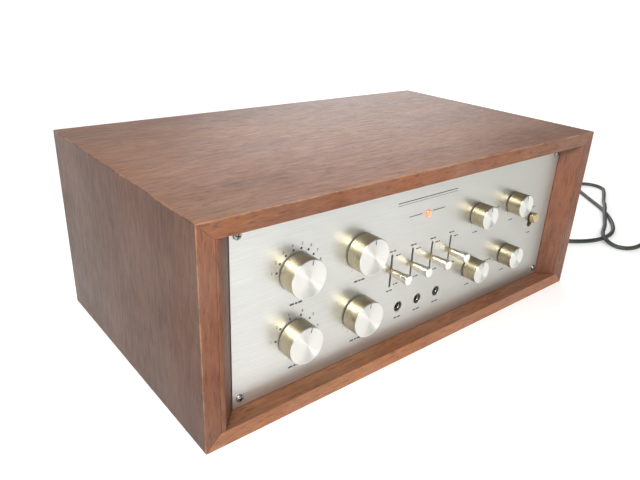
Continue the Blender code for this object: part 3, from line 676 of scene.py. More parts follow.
def makePlugBody(middle, bodyLow, bodyHigh):
    shape = bmesh.new()
    addBlock(shape, bodyLow, bodyHigh)
    for vert in shape.verts:                           # narrower towards the cord
        if vert.co.x > middle.x:
            vert.co.y = middle.y + (vert.co.y - middle.y) * plugSettings["narrowing"][0]
            vert.co.z = middle.z + (vert.co.z - middle.z) * plugSettings["narrowing"][1]
    roundEdges(shape, shape.edges[:], plugSettings["edge"], 5)
    half = plugSettings["padHalf"]
    for side in (-1, 1):                               # finger pads on the flat sides
        for k in range(plugSettings["pads"]):
            x = bodyLow.x + plugSettings["padFirst"] + k * plugSettings["padPitch"]
            z = middle.z + side * (bodyHigh.z - bodyLow.z) * 0.475
            addBlock(shape, (x, middle.y - half, z - 0.0006),
                     (x + plugSettings["padWidth"], middle.y + half, z + 0.0006), 0.0004)
    neck = plugSettings["neckLength"]
    profile = [(0, 0), (0.0060, 0)] + ribPoints(5, 0.0015, neck - 0.0005, 0.0058, 0.0022, 0.0012, 0.0006)
    profile += [(0.0035, neck + 0.0014), (0, neck + 0.0014)]
    addTurned(shape, profile, (bodyHigh.x - 0.0015, middle.y, middle.z), towardsRight, 40)
    return finishPiece(shape, [blackPlastic], "plug", "plugBody")


def makePlug():
    low, high, middle = boxOf("plug")
    bodyLow = Vector((low.x + plugSettings["bladeLength"], low.y, low.z))
    bodyHigh = Vector((high.x - plugSettings["neckLength"], high.y, high.z))
    body = makePlugBody(middle, bodyLow, bodyHigh)
    blades = bmesh.new()
    half = plugSettings["bladeWidth"] / 2
    sunk = 0.002                                       # how far a blade goes into the body
    length = plugSettings["bladeLength"] + sunk
    outline = [(0, -half)] + arcPoints((length - half, 0), half, -90, 90, 12) + [(0, half)]
    hole = circlePoints(length - 0.0040, 0, plugSettings["bladeHole"], 20)
    for side in (-1, 1):
        place = (bodyLow.x + sunk, middle.y + side * plugSettings["bladeApart"] / 2, middle.z)
        turn = Matrix.Rotation(math.pi, 4, "Z") @ towardsFront
        addShape(blades, plateShape([outline, hole], plugSettings["bladeThick"], 0.0002, place, turn))
    return [body, finishPiece(blades, [nickelPlate], name="plugBlades")]


def makeCordGrip():
    low, high, middle = boxOf("cord_grip")
    length = high.y - rearFace
    profile = [(0, -0.004), (0.0062, -0.004), (0.0062, 0.0003), (0.0084, 0.0003), (0.0086, 0.0006),
               (0.0086, 0.0027), (0.0082, 0.0031), (0.0058, 0.0034)]
    profile += ribPoints(7, 0.0045, length - 0.0060, 0.0056, 0.0019, 0.0016, 0.0007)
    profile += [(0.0036, length - 0.0008), (0.0033, length), (0, length)]
    shape = bmesh.new()
    addTurned(shape, profile, onRear(middle), towardsRear)
    finishPiece(shape, [blackPlastic], "cord_grip")


powerCord = makeCord()
plugPieces = makePlug()
makeCordGrip()
print("cord, plug and cord grip made")


# walnut case

caseSettings = {
    "cornerRadius": 0.0009, "rimRadius": 0.0007, "jointGap": 0.00006,
    "edgeRoughness": 0.40, "stripRoughness": 0.42, "stripWear": 0.12,
    "stripFlat": 0.0035, "stripRadius": 0.0005, "stripStand": 0.0004,
}


def boardShape(halfLength, depth, thick):
    # a mitred board's section, drawn out along its depth: local Z is the outer face
    radius, gap = caseSettings["cornerRadius"], caseSettings["jointGap"]
    section = [(halfLength - thick - gap, -thick)]
    section += arcPoints((halfLength - radius - gap, -radius), radius, 45, 90, 4)
    section += [(-x, z) for x, z in reversed(section)]
    shape = drawnOut([(x, -depth / 2, z) for x, z in section], (0, depth, 0))
    rims = [edge for edge in shape.edges if abs(edge.verts[0].co.y - edge.verts[1].co.y) < 1e-6
            and edge.verts[0].co.z > -thick * 1.01 and edge.calc_length() > thick * 1.5]
    roundEdges(shape, rims, caseSettings["rimRadius"], 3)
    return shape


def makeCase():
    low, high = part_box("case_side_left")[0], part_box("case_side_right")[1]
    bottom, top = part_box("case_bottom")[0].z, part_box("case_top")[1].z
    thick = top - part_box("case_top")[0].z
    width, depth, height = high.x - low.x, high.y - low.y, top - bottom
    box = ((low.x, low.y, bottom), (high.x, high.y, top))
    # each board's length, the middle of its outer face, its turn about Y and its front edge's colours,
    # painted lighter or darker for light and shade
    boards = {
        "case_top": (width, (0, 0, top), 0, "edge"),
        "case_bottom": (width, (0, 0, bottom), 2 * quarter, "base"),
        "case_side_right": (height, (high.x, 0, (top + bottom) / 2), quarter, "post"),
        "case_side_left": (height, (low.x, 0, (top + bottom) / 2), -quarter, "post"),
    }
    for number, (node, (length, place, angle, end)) in enumerate(boards.items()):
        # the side boards take the darker side colours: painted shade
        tone = "side" if end == "post" else "top"
        turn = (0, quarter, 0) if end == "post" else (0, 0, 0)
        shift = (0.37 * number, 0.21 * number, 0.13 * number)
        # the veneer takes painted sheen, more on the top than on the sides
        face = makeWood(pieceNameOf(node) + "Veneer", tone, turn, shift, box,
                        sheenShare=woodSettings[tone + "Haze"])
        edge = makeWood(pieceNameOf(node) + "Edge", end, turn, shift, box, caseSettings["edgeRoughness"])
        shape = boardShape(length / 2, depth, thick)
        moveShape(shape, shape.verts, place, Matrix.Rotation(angle, 4, "Y"))
        paint([part for part in shape.faces if abs(part.normal.y) > 0.5], 1)
        finishPiece(shape, [face, edge], node)


def makeFrontStrips():
    for side, node in ((-1, "front_strip_left"), (1, "front_strip_right")):
        low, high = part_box(node)
        outer, inner = (high.x, low.x) if side > 0 else (low.x, high.x)
        outline = [(outer, low.y), (outer - side * caseSettings["stripFlat"], low.y),
                   (inner, panelFace - caseSettings["stripStand"]), (inner, high.y), (outer, high.y)]
        shape = drawnOut([(x, y, low.z) for x, y in outline], (0, 0, high.z - low.z))
        roundEdges(shape, shape.edges[:], caseSettings["stripRadius"], 3)
        # the strips take the uprights' darker edge colours: painted shade
        wood = makeWood(pieceNameOf(node) + "Wood", "post", (0, quarter, 0), (0.11 * side, 0.5, 0.3),
                        (low, high), caseSettings["stripRoughness"], caseSettings["stripWear"])
        finishPiece(shape, [wood], node)


makeCase()
makeFrontStrips()
print("case made")


# front panel: plate, screws and its plain printed marks

panelSettings = {
    "roundness": 0.0004, "ink": 0.00008, "leverSlot": (0.0308, 0.0022), "powerSlot": (0.0155, 0.0085),
    "jackHole": 0.0047, "knobHole": 0.0045, "jewelHole": 0.0034, "screwHole": 0.0019,
}
bigKnobs = ("selector", "mode", "volume", "balance")
smallKnobs = ("treble_left", "treble_right", "bass_left", "bass_right")
knobNames = bigKnobs + smallKnobs
leverNames = ("monitor", "phono", "low_filter", "high_filter")
jackNames = ("phone_jack_left", "phone_jack_middle", "phone_jack_right")
screwNames = ["panel_screw_%d" % number for number in range(1, 5)]


def makePanelMetal():
    # satin aluminium with faint brushing from side to side, and painted shade that makes it darker towards
    # the right
    material, tree, place = newMaterial("satinPanel")
    brush = useGroup(tree, brushGroup, {"Vector": place, "Fineness": 2600.0})
    base = mixColour(tree, spread(tree, brush["Tone"]), (0.66, 0.662, 0.64, 1), (0.77, 0.772, 0.75, 1))
    cloud = spread(tree, noise(tree, place, 7.0, 2.0), 0.0, 0.25)
    dull = mixColour(tree, cloud, base, (0.55, 0.555, 0.52, 1))
    across = addNode(tree, "SeparateXYZ", {0: place}).outputs[0]
    # painted shade: darker and greyer towards the panel's right end
    rightwardShade = remap(tree, across, panelLow.x, panelHigh.x, 0.0, 0.75)
    return finishMaterial(material, mixColour(tree, rightwardShade, dull, (0.47, 0.465, 0.42, 1)),
                          brushedRoughness(tree, brush, 0.33, 0.40), (brush["Tone"], 0.000012, 0.5),
                          {"Metallic": 0.85})


def makePanel():
    outlines = [outlineOf(panelLow, panelHigh)]
    for name in leverNames:
        place = middleOf(name + "_lever")
        outlines.append(slotPoints(place.x, place.z, *panelSettings["leverSlot"]))
    power = jointPlace["power"]
    outlines.append(slotPoints(power.x, power.z, *panelSettings["powerSlot"]))
    holes = [(name + "_knob", "knobHole", 40) for name in knobNames]
    holes += [(name, "jackHole", 40) for name in jackNames] + [("pilot_jewel", "jewelHole", 40)]
    holes += [(name, "screwHole", 24) for name in screwNames]
    for node, kind, count in holes:
        place = middleOf(node)
        outlines.append(circlePoints(place.x, place.z, panelSettings[kind], count))
    shape = plateShape(outlines, panelHigh.y - panelLow.y, panelSettings["roundness"],
                       (0, (panelLow.y + panelHigh.y) / 2, 0))
    finishPiece(shape, [makePanelMetal()], "face_panel", "frontPanel", sharpAngle=12)


markSettings = {
    "circle": 0.0181, "dot": 0.0010, "digit": 0.0036, "digitOut": (0.0042, 0.0036),
    "selectorStep": 22.5, "modeStep": 33,
    "bigScale": 0.0168, "smallScale": 0.0122, "longTick": 0.0014, "shortTick": 0.0007, "tickHalf": 0.00017,
    "dashHeight": 0.0012, "dashGap": 0.0009,
    # the rules over the jewel: their way above it and their heights; the dashes beside it
    "ruleLength": 0.0740, "ruleShift": -0.0010, "rules": ((0.0160, 0.0007), (0.0138, 0.0003)),
    "jewelDash": (0.0145, 0.0016, 0.0160, 0.0007),
    # the slot's end, the way aside, the way past that end and the dashes
    "leverRows": ((1, 0, 0.0030, (0.0034, 0.0026)), (1, 0.0068, -0.0020, (0.0030, 0.0016)),
                  (-1, 0.0068, -0.0018, (0.0018, 0.0028)), (-1, 0, 0.0030, (0.0026, 0.0030))),
    "powerRows": ((0.0140, (0.0040, 0.0022)), (-0.0140, (0.0022, 0.0022))),
    # each group's way below its control, its dashes and their height
    "bigRow": (0.0262, (0.0040, 0.0022, 0.0034), 0.0014), "smallRow": (0.0185, (0.0022, 0.0030), 0.0011),
    "pairRow": (0, (0.0036, 0.0024, 0.0030), 0.0011), "jackRow": (0.0105, (0.0032, 0.0040), 0.0012),
}


def addInk(shape, points):
    # a printed mark: a very thin plate that stands on the panel's face
    thick = panelSettings["ink"]
    addShape(shape, plateShape([points], thick, 0, (0, panelFace - thick / 2, 0)))


def addInkBox(shape, x, z, width, height):
    addInk(shape, boxPoints(x - width / 2, z - height / 2, x + width / 2, z + height / 2))


def addRow(shape, x, z, widths, height=markSettings["dashHeight"]):
    # a row of plain dashes, centred on x, in the place of a word
    gap = markSettings["dashGap"]
    left = x - (sum(widths) + gap * (len(widths) - 1)) / 2
    for width in widths:
        addInkBox(shape, left + width / 2, z, width, height)
        left += width + gap


def addRowBelow(shape, x, z, kind):
    below, widths, height = markSettings[kind]
    addRow(shape, x, z - below, widths, height)


def addNumber(shape, text, x, z):
    # small digits of a dial, made a mesh from Blender's own font
    curve = bpy.data.curves.new("digits", "FONT")
    curve.body = text
    curve.size = markSettings["digit"]
    curve.align_x = curve.align_y = "CENTER"
    curve.extrude = panelSettings["ink"] / 2
    curve.resolution_u = 3
    addShape(shape, shapeOfCurve(curve, (x, panelFace - panelSettings["ink"] / 2, z), towardsFront))


def addSteps(shape, centre, count, apart):
    # a numbered dot at each switch position
    circle, dot = markSettings["circle"], markSettings["dot"]
    outX, outZ = markSettings["digitOut"]
    for number in range(1, count + 1):
        angle = math.radians(apart * (number - (count + 1) / 2))
        across, up = math.sin(angle), math.cos(angle)
        addInk(shape, circlePoints(centre.x + circle * across, centre.z + circle * up, dot, 16))
        addNumber(shape, str(number), centre.x + (circle + outX) * across, centre.z + (circle + outZ) * up)


def addScale(shape, centre, circle):
    # eleven ticks over 300 degrees, longer at the ends and at the middle
    half = markSettings["tickHalf"]
    for number in range(11):
        turned = math.radians(-150 + 30 * number)
        outer = circle + markSettings["longTick" if number in (0, 5, 10) else "shortTick"]
        points = []
        for radius, side in ((circle, -half), (outer, -half), (outer, half), (circle, half)):
            points.append((centre.x + radius * math.sin(turned) + side * math.cos(turned),
                           centre.z + radius * math.cos(turned) - side * math.sin(turned)))
        addInk(shape, points[::-1])


def makeMarks():
    shape = bmesh.new()
    places = {name: middleOf(name + "_knob") for name in knobNames}
    addSteps(shape, places["selector"], 8, markSettings["selectorStep"])
    addSteps(shape, places["mode"], 6, markSettings["modeStep"])
    for name in ("volume", "balance"):
        addScale(shape, places[name], markSettings["bigScale"])
    for name in smallKnobs:
        addScale(shape, places[name], markSettings["smallScale"])
    for name in knobNames:
        addRowBelow(shape, places[name].x, places[name].z, "bigRow" if name in bigKnobs else "smallRow")
    middle = (places["treble_left"].x + places["treble_right"].x) / 2
    for name in ("treble_left", "bass_left"):
        addRowBelow(shape, middle, places[name].z, "pairRow")
    jewel = middleOf("pilot_jewel")
    x = jewel.x + markSettings["ruleShift"]
    for up, height in markSettings["rules"]:           # two plain rules in the place of a title
        addInkBox(shape, x, jewel.z + up, markSettings["ruleLength"], height)
    aside, up, width, height = markSettings["jewelDash"]
    for side in (-1, 1):
        addInkBox(shape, x + side * aside, jewel.z + up, width, height)
    half = panelSettings["leverSlot"][0] / 2
    for name in leverNames:
        lever = middleOf(name + "_lever")
        for end, aside, out, widths in markSettings["leverRows"]:
            addRow(shape, lever.x + aside, lever.z + end * (half + out), widths)
    for name in jackNames:
        jack = middleOf(name)
        addRowBelow(shape, jack.x, jack.z, "jackRow")
    power = jointPlace["power"]
    for out, widths in markSettings["powerRows"]:
        addRow(shape, power.x, power.z + out, widths)
    finishPiece(shape, [panelInk], name="panelMarks")


screwSettings = {
    "headShare": 0.82, "shank": 0.0016, "rim": 0.0007,
    "recessShare": 0.66, "recessHalf": 0.00044, "recessDeep": 0.0009,
    "firstTurn": 72, "nextTurn": 47,         # degrees, so that no two screws stand alike
}


def makeScrews():
    rim, shank = screwSettings["rim"], screwSettings["shank"]
    for number, node in enumerate(screwNames):
        low, high, middle = boxOf(node)
        radius = (high.x - low.x) / 2 * screwSettings["headShare"]
        end = -(high.y - panelFace)
        profile = [(0, end), (shank, end), (shank, 0.0001), (radius - 0.0003, 0.0001),
                   (radius, 0.0004), (radius, rim)]
        profile += domePoints(radius, rim, panelFace - low.y - rim, 8)
        shape = bmesh.new()
        addTurned(shape, profile, onPanel(middle), steps=40)
        turned = screwSettings["firstTurn"] + screwSettings["nextTurn"] * number
        for angle in (turned, turned + 90):
            cutRecess(shape, middle, radius * screwSettings["recessShare"], math.radians(angle))
        # the second material, black, is painted shade in the cross recess
        finishPiece(shape, [screwSteel, blackPlastic], node)


def cutRecess(shape, middle, reach, angle):
    # one arm of the cross recess: cuts along the head, and what stands between them pushed in; its faces are
    # painted black as shade in the recess
    across = Vector((math.cos(angle), 0, math.sin(angle)))
    along = Vector((-across.z, 0, across.x))
    half = screwSettings["recessHalf"]
    floor = panelFace - screwSettings["recessDeep"]

    def within(point):
        offset = point - middle
        return abs(offset.dot(across)) < half and abs(offset.dot(along)) < reach

    for side in (-1, 1):
        for edge in (half - 0.00002, half + 0.00002):
            bmesh.ops.bisect_plane(shape, geom=shape.verts[:] + shape.edges[:] + shape.faces[:], dist=1e-7,
                                   plane_co=middle + across * side * edge, plane_no=across)
    for vert in shape.verts:
        if within(vert.co) and vert.co.y < floor:
            vert.co.y = floor
    # the recess's faces take black: painted shade
    paint([face for face in shape.faces if within(face.calc_center_median())], 1)


makePanel()
makeMarks()
makeScrews()
print("panel made")


# knobs

knobSettings = {
    "rim": 0.0007, "foot": 0.0009, "wall": 0.0016, "hub": 0.0055, "bore": 0.0036, "boreStart": 0.0024,
    "markLength": 0.0044, "markWidth": 0.0007, "markDepth": 0.00005,
    "grooveDepth": 0.00018, "groovePitch": 0.0009, "groovedBelow": 0.013, "steps": 96,
}
# degrees clockwise from the top at which an index line stands
markAngles = {"selector": markSettings["selectorStep"] / 2, "mode": markSettings["modeStep"] / 2}


def makeSpunFace(name, centre):
    # turned aluminium: rings round the centre, and a shine that fans out from it
    material, tree, place = newMaterial(name)
    outward = vectorMath(tree, "MULTIPLY", vectorMath(tree, "SUBTRACT", place, tuple(centre)), (1, 0, 1))
    radius = vectorMath(tree, "LENGTH", outward)
    rings = noise(tree, addNode(tree, "CombineXYZ", {0: radius}).outputs[0], 5200.0, 2.0)
    tangent = addNode(tree, "VectorTransform", {0: outward}, vector_type="VECTOR",
                      convert_from="OBJECT", convert_to="WORLD").outputs[0]
    colour = mixColour(tree, spread(tree, rings), (0.76, 0.75, 0.70, 1), (0.90, 0.89, 0.85, 1))
    return finishMaterial(material, colour, spread(tree, rings, 0.34, 0.42), (rings, 0.00001, 0.4),
                          {"Metallic": 1.0, "Anisotropic": 0.9, "Tangent": tangent})


def makeKnobSide():
    # champagne gold with fine lines that run round the knob
    material, tree, place = newMaterial("knobSide")
    lines = noise(tree, stretched(tree, place, (0.02, 1, 0.02)), 4200.0, 3.0, 0.6)
    base = mixColour(tree, spread(tree, lines), (0.40, 0.35, 0.24, 1), (0.58, 0.52, 0.37, 1))
    soft = remap(tree, noise(tree, place, 60.0, 2.0), 0.4, 0.7, 0.0, 0.3)
    return finishMaterial(material, mixColour(tree, soft, base, (0.62, 0.57, 0.43, 1)),
                          spread(tree, lines, 0.26, 0.38), (lines, 0.00002, 0.5), {"Metallic": 0.95})


def knobProfile(radius, height):
    wall, hub, bore = knobSettings["wall"], knobSettings["hub"], knobSettings["bore"]
    rim, foot, start = knobSettings["rim"], knobSettings["foot"], knobSettings["boreStart"]
    profile = [(0, height - 0.0035), (bore, height - 0.0035), (bore, start), (hub, start),
               (hub, height - 0.0045), (radius - wall, height - 0.0045), (radius - wall, foot),
               (radius - 0.0003, foot), (radius, foot + 0.0003)]
    if radius < knobSettings["groovedBelow"]:          # fine grooves round the small knobs
        pitch, inner = knobSettings["groovePitch"], radius - knobSettings["grooveDepth"]
        for k in range(int((height - foot - 0.0040) / pitch)):
            begin = foot + 0.0012 + k * pitch
            profile += [(radius, begin), (inner, begin + 0.0001),
                        (inner, begin + 0.00032), (radius, begin + 0.00042)]
    profile += arcPoints((radius - rim, height - rim), rim, 0, 90, 5)
    profile += [(radius * 0.90, height), (radius * 0.885, height - 0.00008), (0, height - 0.00008)]
    return profile


def makeKnob(name):
    node = name + "_knob"
    low, high, middle = boxOf(node)
    radius = (high.x - low.x) / 2
    shape = bmesh.new()
    profile = knobProfile(radius, panelFace - low.y)
    faces = addTurned(shape, profile, onPanel(middle), steps=knobSettings["steps"])
    for face in faces:
        centre = face.calc_center_median()
        away = math.hypot(centre.x - middle.x, centre.z - middle.z)
        if centre.y < low.y + knobSettings["rim"] * 0.9:
            face.material_index = 1
        # the hollow inside and the foot by the panel take black: painted shade for the dark gap under the
        # knob
        elif away < radius - knobSettings["wall"] * 0.6 or centre.y > panelFace - knobSettings["foot"] * 1.1:
            face.material_index = 2
    half, stand = knobSettings["markWidth"] / 2, knobSettings["markDepth"]
    outer = radius - 0.00035
    inner = outer - knobSettings["markLength"]
    mark = addBlock(shape, (-half, -stand, inner), (half, 0.0003, outer), 0.00002, 1)
    turn = Matrix.Rotation(math.radians(markAngles.get(name, 0)), 4, "Y")
    moveShape(shape, vertsOf(mark), (middle.x, low.y + stand, middle.z), turn)
    paint(mark, 2)
    spun = makeSpunFace(pieceNameOf(node) + "Face", middle)
    finishPiece(shape, [knobSide, spun, blackPlastic], node, body=name)


knobSide = makeKnobSide()
for knobName in knobNames:
    makeKnob(knobName)
print("knobs made")


# levers: a flat arm on its pivot, and a turned handle given as (radius, height) pairs

leverSettings = {
    "hub": 0.0045, "halfHeight": 0.0025, "thickness": 0.0016, "tilt": 0.0,
    "tipFrom": 0.0143, "plate": palePlate,
    "handle": ((0, 0.0036), (0.0028, 0.0036), (0.0033, 0.0042), (0.0037, 0.0138), (0.0035, 0.0141),
               (0.0035, 0.0146), (0.0040, 0.0149), (0.0042, 0.0172), (0.0043, 0.0200), (0.0040, 0.0205),
               (0.0036, 0.0206), (0, 0.0206)),
}
powerSettings = {
    "hub": 0.0040, "halfHeight": 0.0020, "thickness": 0.0030, "tilt": -8.0,
    "tipFrom": 0.0200, "plate": goldPlate,
    "handle": ((0, 0.0016), (0.0046, 0.0016), (0.0050, 0.0020), (0.0051, 0.0030), (0.0048, 0.0032),
               (0.0048, 0.0036), (0.0051, 0.0038), (0.0052, 0.0062), (0.0048, 0.0069), (0.0044, 0.0070),
               (0, 0.0070)),
}
pivotHole = 0.0017
armStand = Matrix(((0, 0, -1, 0), (-1, 0, 0, 0), (0, 1, 0, 0), (0, 0, 0, 1)))    # local X out of the panel


def makeLever(name, sizes):
    pivot = jointPlace[name]
    depth = pivot.y - panelFace
    turn = Matrix.Rotation(math.radians(sizes["tilt"]), 4, "X")
    hub, half, handle = sizes["hub"], sizes["halfHeight"], sizes["handle"]
    reach = depth + handle[0][1] + 0.0015              # the arm ends inside the handle
    edge = math.degrees(math.asin(half / hub))
    outline = arcPoints((0, 0), hub, edge, 360 - edge, 24) + [(reach, -half), (reach, half)]
    shape = plateShape([outline, circlePoints(0, 0, pivotHole, 20)], sizes["thickness"], 0.0002, pivot,
                       turn @ armStand)
    faces = addTurned(shape, handle, pivot + turn @ Vector((0, -depth, 0)), turn @ towardsFront)
    for face in faces:
        centre = turn.inverted() @ (face.calc_center_median() - pivot)
        face.material_index = 2 if -centre.y - depth > sizes["tipFrom"] else 1
    finishPiece(shape, [goldPlate, sizes["plate"], brightTip], name + "_lever", body=name)


for leverName in leverNames:
    makeLever(leverName, leverSettings)
makeLever("power", powerSettings)
print("levers made")


# jacks and pilot lamp

jackSettings = {"bore": 0.00325, "ring": 0.0043, "body": 0.0080, "bodyFrom": -0.0050}


def makeJacks():
    bore, ring, body = jackSettings["bore"], jackSettings["ring"], jackSettings["body"]
    start = jackSettings["bodyFrom"]
    sleeve = [(0.00315, -0.0016), (0.00315, -0.0075), (0.00275, -0.0075), (0.00275, -0.0018),
              (0.0029, -0.0016), (0.00315, -0.0016)]
    for node in jackNames:
        low, high, middle = boxOf(node)
        back = -(high.y - panelFace)
        profile = [(bore, -0.0008), (0.0034, -0.0006), (ring - 0.0001, -0.0006), (ring, -0.0007),
                   (ring, start), (body, start), (body, back), (0, back), (0, back + 0.0020),
                   (bore, back + 0.0020), (bore, -0.0008)]
        shape = bmesh.new()
        addTurned(shape, profile, onPanel(middle))
        addTurned(shape, sleeve, onPanel(middle), index=1)
        finishPiece(shape, [blackPlastic, nickelPlate], node)


def makePilotJewel():
    low, high, middle = boxOf("pilot_jewel")
    radius = (high.z - low.z) / 2
    stand = panelFace - low.y
    back = -(high.y - panelFace)
    facets = ((0.42, 0.97), (0.74, 0.72), (0.94, 0.30))     # shares of the radius and of the height
    profile = [(0, stand)] + [(radius * out, stand * up) for out, up in facets]
    profile += [(radius * 0.99, 0.0001), (radius * 0.99, back), (0, back)]
    shape = bmesh.new()
    addTurned(shape, profile, onPanel(middle), steps=12)
    finishPiece(shape, [pilotLens], "pilot_jewel", sharpAngle=4)


makeJacks()
makePilotJewel()


# rear panel and its fittings

rearSettings = {
    "socketColumns": 8, "socketPitch": 0.020, "socketFirst": -0.150, "socketRows": (0.078, 0.107),
    "socketRadius": 0.00415, "outletColumns": (0.078, 0.106, 0.134), "outletHeight": 0.105,
    "slotApart": 0.0127, "slotHalf": (0.0009, 0.0036), "screwRadius": 0.0032, "screwInset": 0.008,
    "openingInset": 0.004, "fuseHole": 0.0063, "gripHole": 0.0068, "fuseRidges": 16,
}


def addPanHead(shape, place, radius, turn, index=1):
    profile = [(0, 0), (radius, 0.0001), (radius, 0.0006)] + domePoints(radius, 0.0006, radius * 0.4, 6)
    addTurned(shape, profile, place, turn, 24, index)


def makeRearPanel():
    low, high, middle = boxOf("rear_panel")
    inset = rearSettings["openingInset"]
    outlines = [outlineOf(low, high)]
    outlines += [outlineOf(*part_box(node), inset) for node in ("input_sockets", "ac_outlets")]
    for node, kind in (("fuse_holder", "fuseHole"), ("cord_grip", "gripHole")):
        place = middleOf(node)
        outlines.append(circlePoints(place.x, place.z, rearSettings[kind]))
    # the outlines are drawn as seen from the front, so the plate is turned to the front as well
    shape = plateShape(outlines, high.y - low.y, 0.0002, (0, middle.y, 0))
    inset = rearSettings["screwInset"]
    for x in (low.x + inset, 0, high.x - inset):
        for z in (low.z + inset, high.z - inset):
            addPanHead(shape, (x, high.y, z), rearSettings["screwRadius"], towardsRear)
    finishPiece(shape, [zincSteel, nickelPlate], "rear_panel", sharpAngle=12)


def makeSockets():
    low, high, middle = boxOf("input_sockets")
    face = low.y + 0.0016
    reach = high.y - face
    shape = plateShape([outlineOf(low, high)], face - low.y, 0.0003, (0, (low.y + face) / 2, 0))
    radius = rearSettings["socketRadius"]
    barrel = [(0, 0), (radius + 0.0012, 0), (radius + 0.0012, 0.0008), (radius, 0.0010),
              (radius, reach - 0.0004), (radius - 0.0003, reach), (radius - 0.0007, reach),
              (radius - 0.0007, 0.0030), (0, 0.0030)]
    insulator = [(0, 0.0030), (radius - 0.0008, 0.0030), (radius - 0.0008, reach - 0.0008),
                 (0.0018, reach - 0.0008), (0.0016, reach - 0.0010), (0.0016, 0.0040), (0, 0.0040)]
    for column in range(rearSettings["socketColumns"]):
        x = rearSettings["socketFirst"] + column * rearSettings["socketPitch"]
        for z in rearSettings["socketRows"]:
            addTurned(shape, barrel, (x, face, z), towardsRear, 32, 1)
            addTurned(shape, insulator, (x, face, z), towardsRear, 24, 2)
    for x in (low.x + 0.0045, high.x - 0.0045):
        addPanHead(shape, (x, face, middle.z), 0.0026, towardsRear)
    finishPiece(shape, [phenolicBoard, nickelPlate, blackPlastic], "input_sockets")


def makeOutlets():
    low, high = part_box("ac_outlets")
    z = rearSettings["outletHeight"]
    halfWidth, halfHeight = rearSettings["slotHalf"]
    outlines = [outlineOf(low, high)]
    for column in rearSettings["outletColumns"]:
        for side in (-1, 1):
            x = column + side * rearSettings["slotApart"] / 2
            outlines.append(boxPoints(x - halfWidth, z - halfHeight, x + halfWidth, z + halfHeight))
    start = low.y + 0.0010                             # a back wall closes the slots
    inset = Vector((0.001, 0, 0.001))
    shape = plateShape(outlines, high.y - start, 0.0006, (0, (start + high.y) / 2, 0), roundSteps=2)
    addBlock(shape, low + inset, Vector((high.x, start + 0.0008, high.z)) - inset)
    finishPiece(shape, [blackPlastic], "ac_outlets", sharpAngle=12)


def makeFuseHolder():
    low, high, middle = boxOf("fuse_holder")
    radius = (high.x - low.x) / 2
    cap = radius - 0.0006
    reach = high.y - rearFace
    back = low.y - rearFace
    profile = [(0, back), (0.0060, back), (0.0060, 0.0003), (radius, 0.0003), (radius, 0.0014),
               (cap, 0.0018), (cap, reach - 0.0010), (radius - 0.0014, reach),
               (0.0030, reach), (0.0028, reach - 0.0006), (0, reach - 0.0006)]
    shape = bmesh.new()
    addTurned(shape, profile, onRear(middle), towardsRear)
    ridges = rearSettings["fuseRidges"]
    for k in range(ridges):                            # finger ridges round the cap
        angle = 2 * math.pi * k / ridges
        ridge = addBlock(shape, (-0.0004, rearFace + 0.0020, -0.0005),
                         (0.0004, rearFace + reach - 0.0014, 0.0005), 0.0001, 1)
        place = (middle.x + cap * math.cos(angle), 0, middle.z + cap * math.sin(angle))
        moveShape(shape, vertsOf(ridge), place, Matrix.Rotation(-angle, 4, "Y"))
    finishPiece(shape, [blackPlastic], "fuse_holder")


makeRearPanel()
makeSockets()
makeOutlets()
makeFuseHolder()
print("rear fittings made")


# pieces inside the chassis

innerSettings = {
    "coreInset": 0.014, "boltInset": 0.005, "boardStand": 0.012, "boardThick": 0.0016, "pillarInset": 0.007,
    "groups": 5, "groupFirst": 0.030, "groupPitch": 0.035, "resistors": 4, "resistorPitch": 0.011,
}


def makeTransformer():
    low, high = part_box("power_transformer")
    inset = innerSettings["coreInset"]
    coreLow = Vector((low.x, low.y + inset, low.z))
    coreHigh = Vector((high.x, high.y - inset, high.z))
    shape = bmesh.new()
    addBlock(shape, coreLow, coreHigh, 0.0006, 2)
    winding = addBlock(shape, (low.x + 0.013, low.y, low.z + 0.012), (high.x - 0.013, high.y, low.z + 0.046),
                       0.005, 5)
    paint(winding, 1)
    inset = innerSettings["boltInset"]
    for x in (low.x + inset, high.x - inset):          # clamping bolts
        for z in (low.z + inset, high.z - inset):
            for y, turn in ((coreLow.y, towardsFront), (coreHigh.y, towardsRear)):
                addPanHead(shape, (x, y, z), 0.0030, turn, 2)
    finishPiece(shape, [laminations, phenolicBoard, nickelPlate], "power_transformer")


def makeCapacitor():
    low, high, middle = boxOf("filter_capacitor")
    radius = (high.x - low.x) / 2 - 0.0002
    height = high.z - low.z
    profile = [(0, 0), (radius - 0.0010, 0), (radius - 0.0004, 0.0010), (radius - 0.0004, 0.0040),
               (radius - 0.0012, 0.0050), (radius, 0.0062), (radius, height - 0.0020)]
    profile += arcPoints((radius - 0.0018, height - 0.0018), 0.0018, 10, 90, 5)
    profile += [(radius - 0.0030, height), (radius - 0.0036, height - 0.0008), (0, height - 0.0008)]
    shape = bmesh.new()
    addTurned(shape, profile, (middle.x, middle.y, low.z), upwards, 64)
    finishPiece(shape, [drawnCan], "filter_capacitor")


